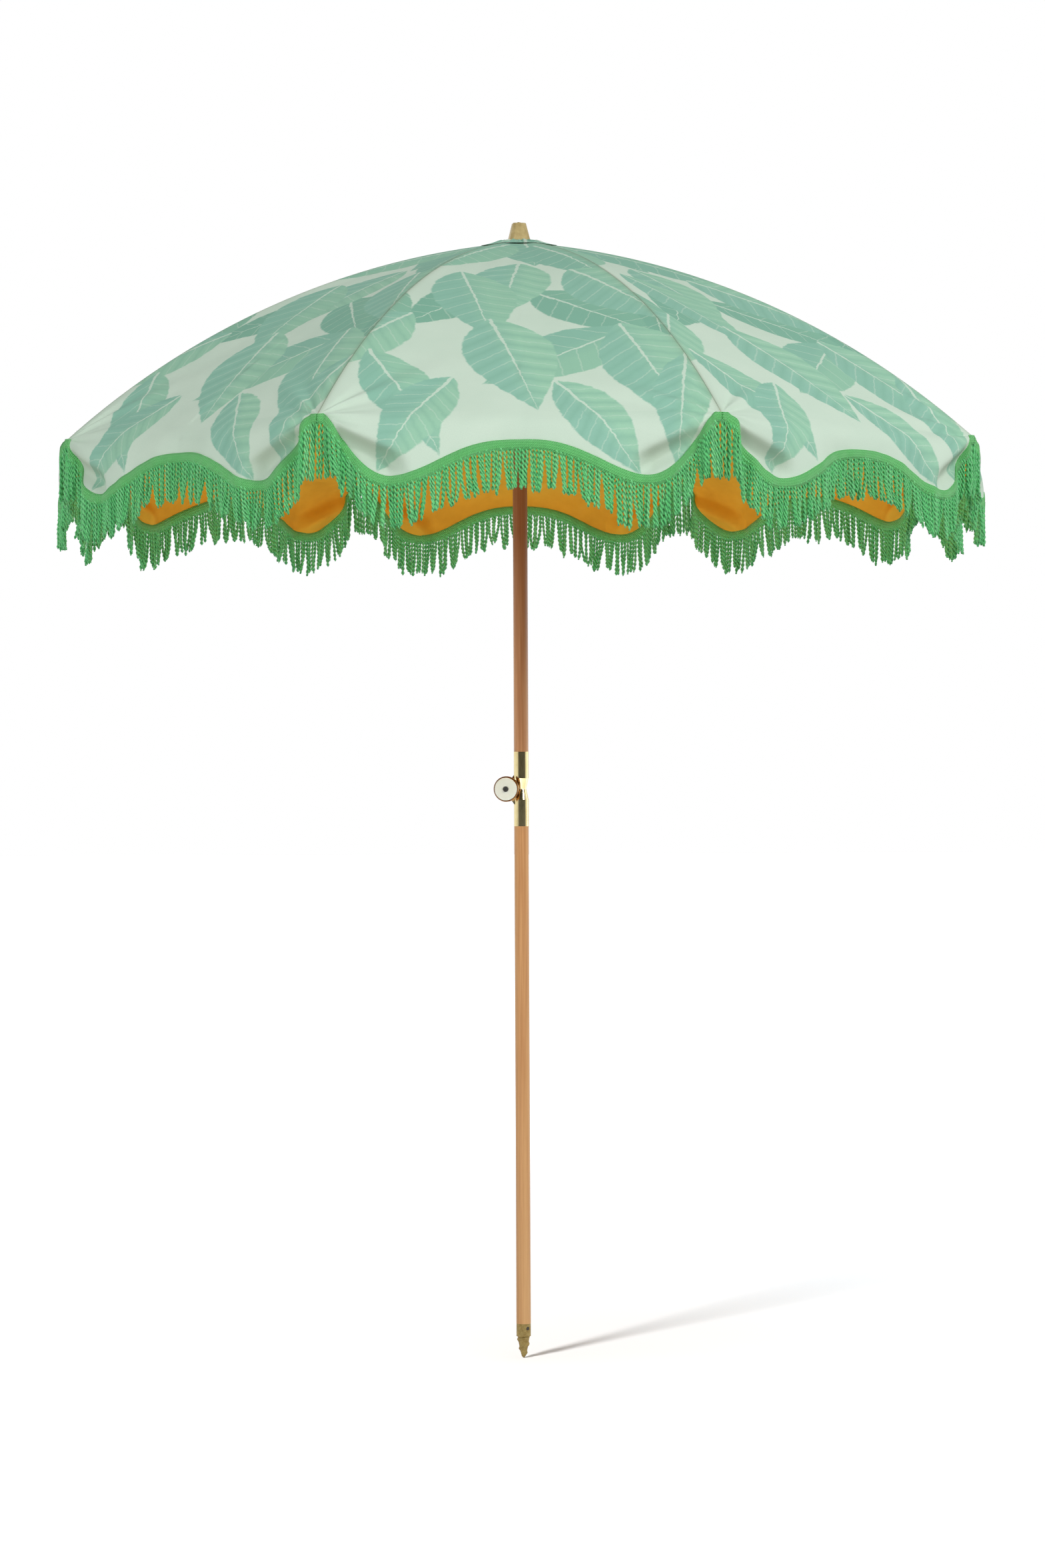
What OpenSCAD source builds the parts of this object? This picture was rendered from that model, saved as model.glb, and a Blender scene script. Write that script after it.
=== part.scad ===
// Beach umbrella: two-piece wooden pole with a tilt hinge, eight folding ribs and a fringed canopy.
// Millimetres, +Z up, origin at the tip of the ground spike. The knob side faces -Y.

/* [Pole] */
// Diameter of the wooden pole
pole_d = 32; // [28:1:38]
// Exposed length of the lower pole
lower_len = 1096; // [900:1:1300]
// Exposed length of the upper pole, from its ferrule to the crown
upper_len = 1090; // [1060:1:1300]
// Length of the turned-down end that sits in a ferrule
tenon_len = 44; // [30:1:54]

/* [Ground spike] */
// Length of the threaded cone
spike_h = 48; // [35:1:80]
// Height of the brass socket over the cone
socket_h = 28; // [22:1:40]
// Rise of the thread in one turn
spike_pitch = 20; // [14:1:30]
// Height of the thread over its core
spike_thread = 2.5; // [1.5:0.5:4]

/* [Tilt hinge] */
// Height of each ferrule's straight part
ferrule_h = 58.5; // [56:0.5:80]
// Wall of the ferrules and of the spike socket
ferrule_wall = 3; // [2:0.5:5]
// Height of each ferrule's cone, from its straight part to the hinge line
waist_h = 23.5; // [18:0.5:30]
// Radius of the ferrules at the hinge line
waist_r = 11; // [9:0.5:13]
// Distance from the pole's axis to the hinge pin
pivot_off = 28; // [27.5:0.5:34]
// Turn of the hinge round the pole, from the front to the left
hinge_turn = 12; // [0:1:30]
// Radius of the hinge ears
ear_r = 10; // [8:0.5:12]
// Thickness of each ear of the fork
ear_t = 6; // [4:0.5:8]
// Thickness of the tongue between the ears
tongue_t = 10; // [7:0.5:12]
// Diameter of the hinge bolt
bolt_d = 8; // [6:0.5:10]

/* [Tilt knob] */
// Diameter of the knob's rim
knob_d = 56; // [48:1:64]
// Depth of the knob
knob_h = 18; // [15:0.5:24]
// Width of the rim round the inset face
knob_rim = 3; // [2:0.5:5]
// Thickness of the inset face
face_t = 5; // [4:0.5:7]

/* [Crown and runner] */
// Radius of the circle of rib hinges, on the crown and on the runner
hub_r = 34; // [32:0.5:40]
// Depth of the pole's socket in the crown, up to the rib hinges
crown_depth = 20; // [16:0.5:28]
// Length of the runner's tube under its flange
runner_tube = 50; // [40:1:80]
// Wall of the runner's tube
runner_wall = 4.5; // [3:0.5:6]
// Diameter of the thumbscrew's head
thumb_d = 18; // [14:0.5:24]

/* [Frame] */
// Radius from the pole's axis to the rib tips
canopy_r = 1014; // [900:1:1100]
// Drop from the rib hinges to the rib tips
canopy_drop = 450; // [400:1:500]
// Bow of a rib over the straight line from hinge to tip
rib_bow = 80; // [60:1:100]
// Diameter of the rib wire
rib_d = 6; // [5:0.5:8]
// Diameter of the stretcher wire
stretcher_d = 5.5; // [4:0.5:6]
// Distance along a rib from its hinge to its bracket
bracket_at = 480; // [420:1:520]
// Distance from a rib's centre line down to the bracket's pin
bracket_drop = 14; // [12:0.5:18]
// Diameter of the rib and stretcher pins
pin_d = 3; // [2.5:0.5:4]
// Radius of the rib and stretcher eyes
eye_r = 4.5; // [4:0.25:5.5]

/* [Canopy] */
// Thickness of the cloth with its lining
cloth_t = 2; // [1.5:0.25:3]
// Sag of the cloth between two ribs
cloth_sag = 14; // [0:1:30]
// Depth of the hem at the two lobes of a panel
hem_lobe = 129; // [90:1:160]
// Depth of the hem in the middle of a panel
hem_mid = 59; // [30:1:80]
// Depth of the hem at the rib tips
hem_corner = 5; // [4:0.5:20]
// Length of the fringe under the hem
fringe_len = 94; // [60:1:140]
// Thickness of the fringe
fringe_t = 6; // [4:0.5:8]
// How far the two lobes of the hanging cloth stand out
fold_depth = 14; // [0:1:24]
// How far the hanging cloth swings out past the rib tips
drape_out = 26; // [0:1:40]

/* [Finial] */
// Height of the finial's tapered block
finial_h = 39; // [28:0.5:50]
// Width of the finial's base across its flats
finial_base = 46; // [40:1:52]
// Width of the finial's top across its flats
finial_top = 28; // [20:1:32]
// Height of the button on the finial
button_h = 2.7; // [2:0.1:5]
// Radius of the cloth cap under the finial
cap_r = 62; // [56:1:75]

/* [Hidden] */
// Number of ribs, and half the angle between two of them
rib_count = 8;
half = 180 / rib_count;

// Clearances: fixed fits, running pins, and parts that pass each other
fit_gap = 0.1;
pin_gap = 0.05;
part_gap = 0.3;
cut = 1;

// Pole and ferrule radii
pole_r = pole_d / 2;
tenon_r = pole_r - ferrule_wall;
ferrule_proud = 0.3;
ferrule_r = pole_r + ferrule_proud;
socket_under = 0.2;
socket_r = pole_r - socket_under;
socket_floor = 8;
rivet_r = 2;
lower_rivet_turn = 11;
upper_rivet_turn = 90;
stud_r = 3;

// Heights up the pole
z_pole = spike_h + socket_h;
z_ferrule = z_pole + lower_len;
z_waist = z_ferrule + ferrule_h;
z_pivot = z_waist + waist_h;
z_waist_top = z_pivot + waist_h;
z_upper = z_waist_top + ferrule_h;
z_crown = z_upper + upper_len;
z_hub = z_crown + crown_depth;

// Hinge: faces along Y, from the tongue outwards to the front of the knob
tongue_y = tongue_t / 2;
ear_in = tongue_y + part_gap;
ear_out = ear_in + ear_t;
washer_t = 2.5;
washer_y = ear_out + washer_t;
knob_y = washer_y + part_gap;
bolt_r = bolt_d / 2;
bolt_end = knob_y + knob_h / 2;
bolt_head_out = 3.5;
bolt_head_r = bolt_r + bolt_head_out;
bolt_head_t = 5;
ear_reach = 22;

// Knob
knob_r = knob_d / 2;
face_r = knob_r - knob_rim;
recess = face_t - 1;
knob_screw_r = 2.5;
knob_screw_head = 6;
knob_screw_len = 4;

// Crown and runner slots for the eyes
slot_w = rib_d + 2 * part_gap;
slot_back = 2;
slot_in = hub_r - eye_r - slot_back;
hub_edge = 1.5;
hub_out = hub_r + eye_r + hub_edge;
pin_r = pin_d / 2;
pin_hold = 4;
pin_len = slot_w + 2 * pin_hold;
plate_t = 4;
eye_gap = 0.8;
crown_top = z_hub + eye_r + eye_gap + plate_t;
crown_bevel = 3;
crown_flat = 28;
cap_t = 3;
z_finial = crown_top + cap_t;
runner_r = pole_r + part_gap;

// Rib arc in the plane of a rib: x is the radius, y is the height
rib_r = rib_d / 2;
rib_root = [hub_r, z_hub];
rib_tip = [canopy_r, z_hub - canopy_drop];
rib_span = norm(rib_tip - rib_root);
rib_along = (rib_tip - rib_root) / rib_span;
rib_up = [-rib_along.y, rib_along.x];
arc_r = (rib_span * rib_span / 4 + rib_bow * rib_bow) / (2 * rib_bow);
arc_mid = (rib_root + rib_tip) / 2 - rib_up * (arc_r - rib_bow);
root_angle = atan2(rib_root.y - arc_mid.y, rib_root.x - arc_mid.x);
tip_angle = atan2(rib_tip.y - arc_mid.y, rib_tip.x - arc_mid.x);

// Angle on the arc at a distance along the rib, and a point at an angle and a height over the wire
function arc_angle(along) = root_angle - along / arc_r * 180 / PI;
function arc_point(angle, over) = arc_mid + (arc_r + over) * [cos(angle), sin(angle)];
function arc_height(radius, over) = arc_mid.y + sqrt(pow(arc_r + over, 2) - pow(radius - arc_mid.x, 2));

// Bracket, stretcher and runner: crown, bracket and runner hinges make an isosceles triangle
bracket_angle = arc_angle(bracket_at);
bracket_pin = arc_point(bracket_angle, -bracket_drop);
stretcher_len = norm(bracket_pin - rib_root);
stretcher_slope = atan2(rib_root.y - bracket_pin.y, bracket_pin.x - rib_root.x);
z_runner = 2 * bracket_pin.y - rib_root.y;
bracket_half = 7;
bracket_wall = 2.3;
bracket_top = -1;
stretcher_r = stretcher_d / 2;
runner_floor = z_runner - eye_r - eye_gap - plate_t;
thumb_at = 0.6;
thumb_z = runner_floor - runner_tube * thumb_at;
thumb_r = 3;
thumb_neck = 6;
thumb_t = 8;

// Canopy cloth over the ribs, and the hanging edge outside the rib tips
cloth_gap = 1.4;
cloth_over = rib_r + cloth_gap;
cloth_start = 10;
cloth_from = arc_angle(cloth_start);
cloth_past = 6;
cloth_to = tip_angle - cloth_past / arc_r * 180 / PI;
cloth_rows = 10;
cloth_cols = 8;
seam_gap = 0.5;
edge = arc_point(cloth_to, cloth_over);
drape_tuck = 0.2;
drape_x = edge.x * cos(half) - drape_tuck - cloth_t / 2;
drape_z = edge.y - part_gap;
drape_half = (drape_x - fringe_t / 2) * tan(half) - seam_gap;
drape_cols = 24;
lobe_at = 0.64;
lobe_ease = 1.3;
arch_flat = 0.07;
arch_ease = 0.65;
drape_run = 40;
fold_ease = 1.5;
braid_len = 22;
tooth_len = 12;

$fn = 64;

// A cylinder along +Y from y0 to y1, centred on the hinge pin
module on_pivot(radius, y0, y1) {
  translate([-pivot_off, y1, z_pivot]) rotate([90, 0, 0]) cylinder(r = radius, h = y1 - y0);
}

// A cylinder along Y through the origin
module cross_pin(radius, length) {
  rotate([90, 0, 0]) cylinder(r = radius, h = length, center = true);
}

// Turns its children with the tilt hinge
module at_hinge() {
  rotate([0, 0, -hinge_turn]) children();
}

// Copies of its children round the pole, one in the plane of each rib
module at_ribs() {
  for (i = [1:rib_count]) rotate([0, 0, rib_azimuth(i)]) children();
}

function rib_azimuth(i) = half * (2 * i - 1);
function gore_azimuth(i) = half * 2 * i;

// Triangles over a grid of points that starts at one index; side 1 faces one way, side -1 the other
function grid_faces(rows, cols, first, side) = [
  for (r = [0:rows - 1], c = [0:cols - 1])
    let (a = first + r * (cols + 1) + c, b = a + 1, d = a + cols + 1, e = d + 1)
      each side > 0 ? [[a, b, e], [a, e, d]] : [[a, e, b], [a, d, e]]
];

// Triangles that join two loops of point numbers
function rim_faces(top, under) = [
  for (k = [0:len(top) - 1])
    let (n = (k + 1) % len(top))
      each [[top[k], under[k], under[n]], [top[k], under[n], top[n]]]
];

// Point numbers round the border of a grid
function border(rows, cols, first) = concat(
  [for (c = [0:cols]) first + c],
  [for (r = [1:rows]) first + r * (cols + 1) + cols],
  [for (c = [1:cols]) first + rows * (cols + 1) + cols - c],
  [for (r = [1:rows - 1]) first + (rows - r) * (cols + 1)]
);

// A closed sheet between an outer and an inner grid of points
module sheet(outer, inner) {
  rows = len(outer) - 1;
  cols = len(outer[0]) - 1;
  count = (rows + 1) * (cols + 1);
  polyhedron(
    points = concat([for (row = outer) each row], [for (row = inner) each row]),
    faces = concat(
      grid_faces(rows, cols, 0, 1),
      grid_faces(rows, cols, count, -1),
      rim_faces(border(rows, cols, 0), border(rows, cols, count))
    ),
    convexity = 6
  );
}

// Ground spike: a cone with a coarse helical thread, and the spigot that holds it in the socket
spike_sides = 24;
spike_rings = 36;
spike_tip_r = 1.5;
spike_swell = 0.6;
spike_start = 12;
spike_top_r = socket_r - spike_thread;
spigot_r = tenon_r / 2;

function ramp(value) = max(0, min(1, value));
function ridge(phase) = ramp(2 - 4 * abs(phase - 0.5));
function spike_radius(z, turn) =
  let (core = spike_tip_r + (spike_top_r - spike_tip_r) * pow(z / spike_h, spike_swell))
    let (along = z / spike_pitch - turn / 360)
      core + spike_thread * ridge(along - floor(along)) * ramp(z / spike_start);
function spike_ring(z) = [
  for (s = [0:spike_sides - 1])
    let (turn = 360 * s / spike_sides, r = spike_radius(z, turn))
      [r * cos(turn), r * sin(turn), z]
];
function plain_ring(r, z) = [
  for (s = [0:spike_sides - 1]) [r * cos(360 * s / spike_sides), r * sin(360 * s / spike_sides), z]
];

module ground_spike() {
  rings = concat(
    [for (k = [0:spike_rings]) spike_ring(spike_h * k / spike_rings)],
    [plain_ring(spigot_r, spike_h), plain_ring(spigot_r, spike_h + socket_floor)]
  );
  last = len(rings) - 1;
  ends = (last + 1) * spike_sides;
  points = concat([for (ring = rings) each ring], [[0, 0, 0], [0, 0, spike_h + socket_floor]]);
  side_faces = [
    for (k = [0:last - 1], s = [0:spike_sides - 1])
      let (n = (s + 1) % spike_sides, a = k * spike_sides, b = a + spike_sides)
        each [[a + s, b + s, b + n], [a + s, b + n, a + n]]
  ];
  end_faces = [
    for (s = [0:spike_sides - 1])
      let (n = (s + 1) % spike_sides, b = last * spike_sides)
        each [[ends, s, n], [ends + 1, b + n, b + s]]
  ];
  color("darkgoldenrod") polyhedron(points = points, faces = concat(side_faces, end_faces), convexity = 8);
}

// Brass cup between the spike and the pole
module spike_socket() {
  color("goldenrod") difference() {
    translate([0, 0, spike_h]) cylinder(r = socket_r, h = socket_h);
    translate([0, 0, spike_h - cut]) cylinder(r = spigot_r + fit_gap, h = socket_h);
    translate([0, 0, spike_h + socket_floor]) cylinder(r = tenon_r + fit_gap, h = socket_h);
    spike_screw_hole();
  }
}

spike_screw_z = spike_h + socket_floor + (socket_h - socket_floor) / 2;
spike_screw_len = 12;
spike_screw_head = 1.6;
spike_screw_sunk = 0.6;
spike_screw_turn = 36;

// Places its children at the sunken seat of the spike's screw, with z pointing out of the socket
module at_spike_screw() {
  rotate([0, 0, spike_screw_turn]) translate([0, -socket_r + spike_screw_sunk, spike_screw_z])
    rotate([90, 0, 0]) children();
}

module spike_screw_hole() {
  at_spike_screw() {
    translate([0, 0, -spike_screw_len]) cylinder(r = rivet_r + fit_gap, h = spike_screw_len + cut);
    translate([0, 0, -spike_screw_head - fit_gap]) cylinder(r = 2 * rivet_r + fit_gap, h = ferrule_wall + cut);
  }
}

// Screw that holds the socket on the pole, its head sunk in the brass
module spike_screw() {
  color("dimgray") at_spike_screw() {
    translate([0, 0, -spike_screw_len]) cylinder(r = rivet_r, h = spike_screw_len);
    translate([0, 0, -spike_screw_head]) cylinder(r = 2 * rivet_r, h = spike_screw_head);
  }
}

// Lower half of the pole, with a turned-down end in the socket and in the ferrule
module lower_pole() {
  color("burlywood") difference() {
    union() {
      translate([0, 0, z_pole]) cylinder(r = pole_r, h = lower_len);
      translate([0, 0, spike_h + socket_floor])
        cylinder(r = tenon_r, h = socket_h - socket_floor + lower_len + tenon_len);
    }
    spike_screw_hole();
    rivet_hole(z_ferrule + tenon_len / 2, lower_rivet_turn);
  }
}

// A ferrule's cup and cone, standing on z = 0 with the hinge line at its top; turn aims its rivet
module ferrule_cup(turn) {
  difference() {
    union() {
      cylinder(r = ferrule_r, h = ferrule_h);
      translate([0, 0, ferrule_h])
        cylinder(r1 = ferrule_r, r2 = waist_r, h = waist_h - part_gap / 2);
    }
    translate([0, 0, -cut]) cylinder(r = tenon_r + fit_gap, h = tenon_len + cut);
    rivet_hole(tenon_len / 2, turn);
  }
}

// A plate from the ferrule's cone to the hinge pin, from y0 to y1; the hinge line is at z = 0
module ear(y0, y1) {
  translate([-pivot_off, y1, 0]) rotate([90, 0, 0]) cylinder(r = ear_r, h = y1 - y0);
  translate([0, y1, 0]) rotate([90, 0, 0]) linear_extrude(y1 - y0) polygon([
    [-pivot_off - ear_r, 0],
    [-tenon_r, -waist_h - ear_reach / 2],
    [-waist_r / 2, -waist_h],
    [-waist_r / 2, -part_gap / 2],
    [-pivot_off, -part_gap / 2]
  ]);
}

// Lower ferrule, with the fork of the tilt hinge
module lower_ferrule() {
  color("goldenrod") at_hinge() difference() {
    union() {
      translate([0, 0, z_ferrule]) ferrule_cup(lower_rivet_turn + hinge_turn);
      translate([0, 0, z_pivot]) ear(-ear_out, -ear_in);
      translate([0, 0, z_pivot]) ear(ear_in, ear_out);
    }
    on_pivot(bolt_r + pin_gap, -ear_out - cut, ear_out + cut);
  }
}

// Upper ferrule, with the tongue of the tilt hinge
module upper_ferrule() {
  color("goldenrod") at_hinge() difference() {
    translate([0, 0, z_pivot]) mirror([0, 0, 1]) {
      translate([0, 0, -waist_h - ferrule_h]) ferrule_cup(upper_rivet_turn + hinge_turn);
      ear(-tongue_y, tongue_y);
    }
    on_pivot(bolt_r + pin_gap, -ear_out, ear_out);
  }
}

// Rivet across a ferrule and the wood in it
module rivet(z, turn) {
  color("darkgoldenrod") translate([0, 0, z]) rotate([0, 0, turn]) cross_pin(rivet_r, 2 * ferrule_r);
}

module rivet_hole(z, turn) {
  translate([0, 0, z]) rotate([0, 0, turn]) cross_pin(rivet_r + fit_gap, 2 * pole_d);
}

// Hinge bolt: hexagon head behind the fork, free end in the knob
module pivot_bolt() {
  color("silver") at_hinge() {
    on_pivot(bolt_r, -bolt_end, ear_out);
    translate([-pivot_off, ear_out + bolt_head_t, z_pivot]) rotate([90, 0, 0])
      cylinder(r = bolt_head_r, h = bolt_head_t, $fn = 6);
  }
}

// Washer between the fork and the knob
module knob_washer() {
  color("silver") at_hinge() difference() {
    on_pivot(ear_r - 1, -washer_y, -ear_out);
    on_pivot(bolt_r + fit_gap, -washer_y - cut, -ear_out + cut);
  }
}

// Clamping knob: a turned rim with a recess for the face and a blind bore for the bolt
module tilt_knob() {
  edge = 2.5;
  color("saddlebrown") at_hinge() difference() {
    translate([-pivot_off, -knob_y, z_pivot]) rotate([90, 0, 0]) rotate_extrude() polygon([
      [0, 0],
      [knob_r - 2 * edge, 0],
      [knob_r, 2 * edge],
      [knob_r, knob_h - edge],
      [knob_r - edge, knob_h],
      [0, knob_h]
    ]);
    on_pivot(face_r + fit_gap, -knob_y - knob_h - cut, -knob_y - knob_h + recess);
    on_pivot(bolt_r + pin_gap, -bolt_end - part_gap, -knob_y + cut);
    on_pivot(knob_screw_r + fit_gap, -knob_y - knob_h, -knob_y - knob_h + recess + knob_screw_len);
  }
}

// Inset face of the knob
module knob_face() {
  color("ivory") at_hinge() difference() {
    on_pivot(face_r, -knob_y - knob_h + recess - face_t, -knob_y - knob_h + recess);
    on_pivot(knob_screw_r + fit_gap, -knob_y - knob_h - face_t, -knob_y);
  }
}

// Socket screw that holds the face
module knob_screw() {
  seat = -knob_y - knob_h + recess - face_t;
  head_t = 2.5;
  color("dimgray") at_hinge() difference() {
    union() {
      on_pivot(knob_screw_head, seat - head_t, seat);
      on_pivot(knob_screw_r, seat, seat + face_t + knob_screw_len);
    }
    translate([-pivot_off, seat - head_t / 3, z_pivot]) rotate([90, 0, 0])
      cylinder(r = knob_screw_head / 2, h = head_t, $fn = 6);
  }
}

// Upper half of the pole, from its ferrule to the crown
module upper_pole() {
  color("burlywood") difference() {
    union() {
      translate([0, 0, z_upper]) cylinder(r = pole_r, h = upper_len + crown_depth);
      translate([0, 0, z_upper - tenon_len]) cylinder(r = tenon_r, h = tenon_len + cut);
    }
    rivet_hole(z_upper - tenon_len / 2, upper_rivet_turn);
    translate([0, 0, z_hub - stud_depth]) cylinder(r = stud_r + fit_gap, h = stud_depth + cut);
  }
}

stud_depth = 30;
stud_rise = 20;

// Crown: a disc on the pole's top with a slot for the eye of each rib
module crown() {
  color("dimgray") difference() {
    union() {
      translate([0, 0, z_crown]) cylinder(r = hub_out, h = crown_top - crown_bevel - z_crown);
      translate([0, 0, crown_top - crown_bevel]) cylinder(r1 = hub_out, r2 = crown_flat, h = crown_bevel);
    }
    translate([0, 0, z_crown - cut]) cylinder(r = pole_r + fit_gap, h = crown_depth + cut);
    translate([0, 0, z_crown]) cylinder(r = stud_r + fit_gap, h = 2 * crown_depth);
    at_ribs() translate([slot_in, -slot_w / 2, z_crown - cut])
      cube([hub_out, slot_w, crown_depth + eye_r + eye_gap + cut]);
    at_ribs() translate([hub_r, 0, z_hub]) cross_pin(pin_r + pin_gap, pin_len);
  }
}

// Pins of the ribs in the crown
module crown_pins() {
  color("silver") at_ribs() translate([hub_r, 0, z_hub]) cross_pin(pin_r, pin_len);
}

// Cloth cap over the crown, under the finial
module canopy_cap() {
  rim_z = arc_height(cap_r, cloth_over + cloth_t) + part_gap;
  color("darkseagreen") rotate_extrude() polygon([
    [stud_r + fit_gap, crown_top],
    [crown_flat, crown_top],
    [hub_out, crown_top - crown_bevel],
    [cap_r, rim_z],
    [cap_r, rim_z + cloth_t],
    [hub_out, z_finial - crown_bevel],
    [crown_flat, z_finial],
    [stud_r + fit_gap, z_finial]
  ]);
}

// Threaded stud from the pole's top into the finial
module finial_stud() {
  color("silver") translate([0, 0, z_hub - stud_depth])
    cylinder(r = stud_r, h = z_finial + stud_rise - z_hub + stud_depth);
}

// Finial: a square block with cut corners, tapered to a small button
module finial() {
  corner = finial_base / 6;
  side = finial_base / 2;
  block_turn = 10;
  color("goldenrod") difference() {
    union() {
      translate([0, 0, z_finial]) rotate([0, 0, block_turn])
        linear_extrude(finial_h, scale = finial_top / finial_base) polygon([
          for (q = [0:3]) each [
            side * [cos(90 * q), sin(90 * q)] + (side - corner) * [-sin(90 * q), cos(90 * q)],
            (side - corner) * [cos(90 * q), sin(90 * q)] + side * [-sin(90 * q), cos(90 * q)]
          ]
        ]);
      translate([0, 0, z_finial + finial_h - cut]) cylinder(r = finial_top / 8, h = button_h + cut);
    }
    translate([0, 0, z_finial - cut]) cylinder(r = stud_r + fit_gap, h = stud_rise + cut);
  }
}

// Runner: a sliding tube with a slotted flange for the stretchers
module runner() {
  color("dimgray") difference() {
    union() {
      translate([0, 0, runner_floor - runner_tube]) cylinder(r = runner_r + runner_wall, h = runner_tube + cut);
      translate([0, 0, runner_floor]) cylinder(r = hub_out, h = z_runner + eye_r - runner_floor);
    }
    translate([0, 0, runner_floor - runner_tube - cut])
      cylinder(r = runner_r, h = runner_tube + z_runner - runner_floor + eye_r + 2 * cut);
    at_ribs() translate([slot_in, -slot_w / 2, runner_floor + plate_t])
      cube([hub_out, slot_w, z_runner + eye_r - runner_floor]);
    at_ribs() translate([hub_r, 0, z_runner]) cross_pin(pin_r + pin_gap, pin_len);
    translate([0, 0, thumb_z]) rotate([90, 0, 0]) cylinder(r = thumb_r + pin_gap, h = pole_d);
  }
}

// Pins of the stretchers in the runner
module runner_pins() {
  color("silver") at_ribs() translate([hub_r, 0, z_runner]) cross_pin(pin_r, pin_len);
}

// Thumbscrew that clamps the runner on the pole
module runner_thumbscrew() {
  seat = runner_r + runner_wall + part_gap;
  color("goldenrod") translate([0, 0, thumb_z]) rotate([90, 0, 0]) {
    translate([0, 0, runner_r]) cylinder(r = thumb_r, h = seat - runner_r + cut);
    translate([0, 0, seat]) cylinder(r = thumb_neck, h = thumb_t);
    translate([0, 0, seat + thumb_t / 2]) cube([thumb_d, plate_t, thumb_t], center = true);
  }
}

// Rib: bowed wire with a hinge eye, a bracket for the stretcher and a round tip
module rib(i) {
  color("gray") rotate([0, 0, rib_azimuth(i)]) difference() {
    union() {
      translate([arc_mid.x, 0, arc_mid.y]) rotate([90, 0, 0]) rotate([0, 0, tip_angle])
        rotate_extrude(angle = root_angle - tip_angle, $fn = 720) translate([arc_r, 0]) circle(r = rib_r, $fn = 24);
      translate([hub_r, 0, z_hub]) cross_pin(eye_r, rib_d);
      translate([rib_tip.x, 0, rib_tip.y]) sphere(r = rib_r, $fn = 24);
      bracket();
    }
    translate([hub_r, 0, z_hub]) cross_pin(pin_r + pin_gap, 2 * rib_d);
  }
}

// Fork under a rib, with the pin of the stretcher
module bracket() {
  wide = slot_w + 2 * bracket_wall;
  low = -bracket_drop - eye_r;
  at = arc_point(bracket_angle, 0);
  translate([at.x, 0, at.y]) rotate([0, 90 - bracket_angle, 0]) {
    difference() {
      translate([-bracket_half, -wide / 2, low]) cube([2 * bracket_half, wide, bracket_top - low]);
      translate([-bracket_half - cut, -slot_w / 2, low - cut])
        cube([2 * bracket_half + 2 * cut, slot_w, 2 * eye_r + eye_gap + cut]);
    }
    translate([0, 0, -bracket_drop]) cross_pin(pin_r, wide);
  }
}

// Stretcher: straight wire from the runner to a rib's bracket, with an eye at each end
module stretcher(i) {
  color("gray") rotate([0, 0, rib_azimuth(i)])
    translate([hub_r, 0, z_runner]) rotate([0, -stretcher_slope, 0]) difference() {
      union() {
        rotate([0, 90, 0]) cylinder(r = stretcher_r, h = stretcher_len);
        for (x = [0, stretcher_len]) translate([x, 0, 0]) cross_pin(eye_r, rib_d);
      }
      for (x = [0, stretcher_len]) translate([x, 0, 0]) cross_pin(pin_r + pin_gap, 2 * rib_d);
    }
}

// Point on a panel: down runs from the crown to the edge, across from one rib to the next
function panel_point(down, across, over) =
  let (p = arc_point(cloth_from + (cloth_to - cloth_from) * down, over))
    [
      p.x * cos(half),
      across * (p.x * sin(half) - seam_gap),
      p.y - cloth_sag * sin(180 * down) * (1 - across * across)
    ];
function panel_grid(over) = [
  for (r = [0:cloth_rows])
    [for (c = [0:cloth_cols]) panel_point(r / cloth_rows, 2 * c / cloth_cols - 1, over)]
];

// One gore of the canopy, stretched over two ribs
module canopy_panel(i) {
  color("palegreen") rotate([0, 0, gore_azimuth(i)])
    sheet(panel_grid(cloth_over + cloth_t), panel_grid(cloth_over));
}

// Depth of the hem across a panel: shallow at the tips, two lobes, and a peak between them
function ease(value) = (1 - cos(180 * value)) / 2;
function hem_depth(across) =
  let (a = abs(across), arch = ramp(((1 - a) / (1 - lobe_at) - arch_flat) / (1 - arch_flat)))
    a < lobe_at
      ? hem_mid + (hem_lobe - hem_mid) * ease(pow(a / lobe_at, lobe_ease))
      : hem_corner + (hem_lobe - hem_corner) * ease(pow(arch, arch_ease));

// How far the hanging cloth stands out at a depth: it swings out below the tips, and its lobes are full
function stand_out(across, depth) =
  drape_out * (1 - exp(-depth / drape_run))
  + fold_depth * sin(180 * pow(abs(across), fold_ease)) * min(depth, hem_lobe) / hem_lobe;

// Rows of the hanging edge: three of cloth, the hem, the braid and the toothed end of the fringe
function drape_depth(row, col, across) =
  let (hem = hem_depth(across), tooth = col % 2 == 0 ? tooth_len : 0)
    [0, hem / 3, 2 * hem / 3, hem, hem + braid_len, hem + fringe_len - tooth][row];
function drape_thick(row) = row < 4 ? cloth_t : fringe_t;
function drape_grid(side) = [
  for (row = [0:5])
    [
      for (col = [0:drape_cols])
        let (across = 2 * col / drape_cols - 1, depth = drape_depth(row, col, across))
          [
            drape_x + stand_out(across, depth) + side * drape_thick(row) / 2,
            across * drape_half,
            drape_z - depth
          ]
    ]
];

// Hanging edge of one gore, with its fringe
module valance(i) {
  color("mediumseagreen") rotate([0, 0, gore_azimuth(i)]) sheet(drape_grid(1), drape_grid(-1));
}

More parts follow.
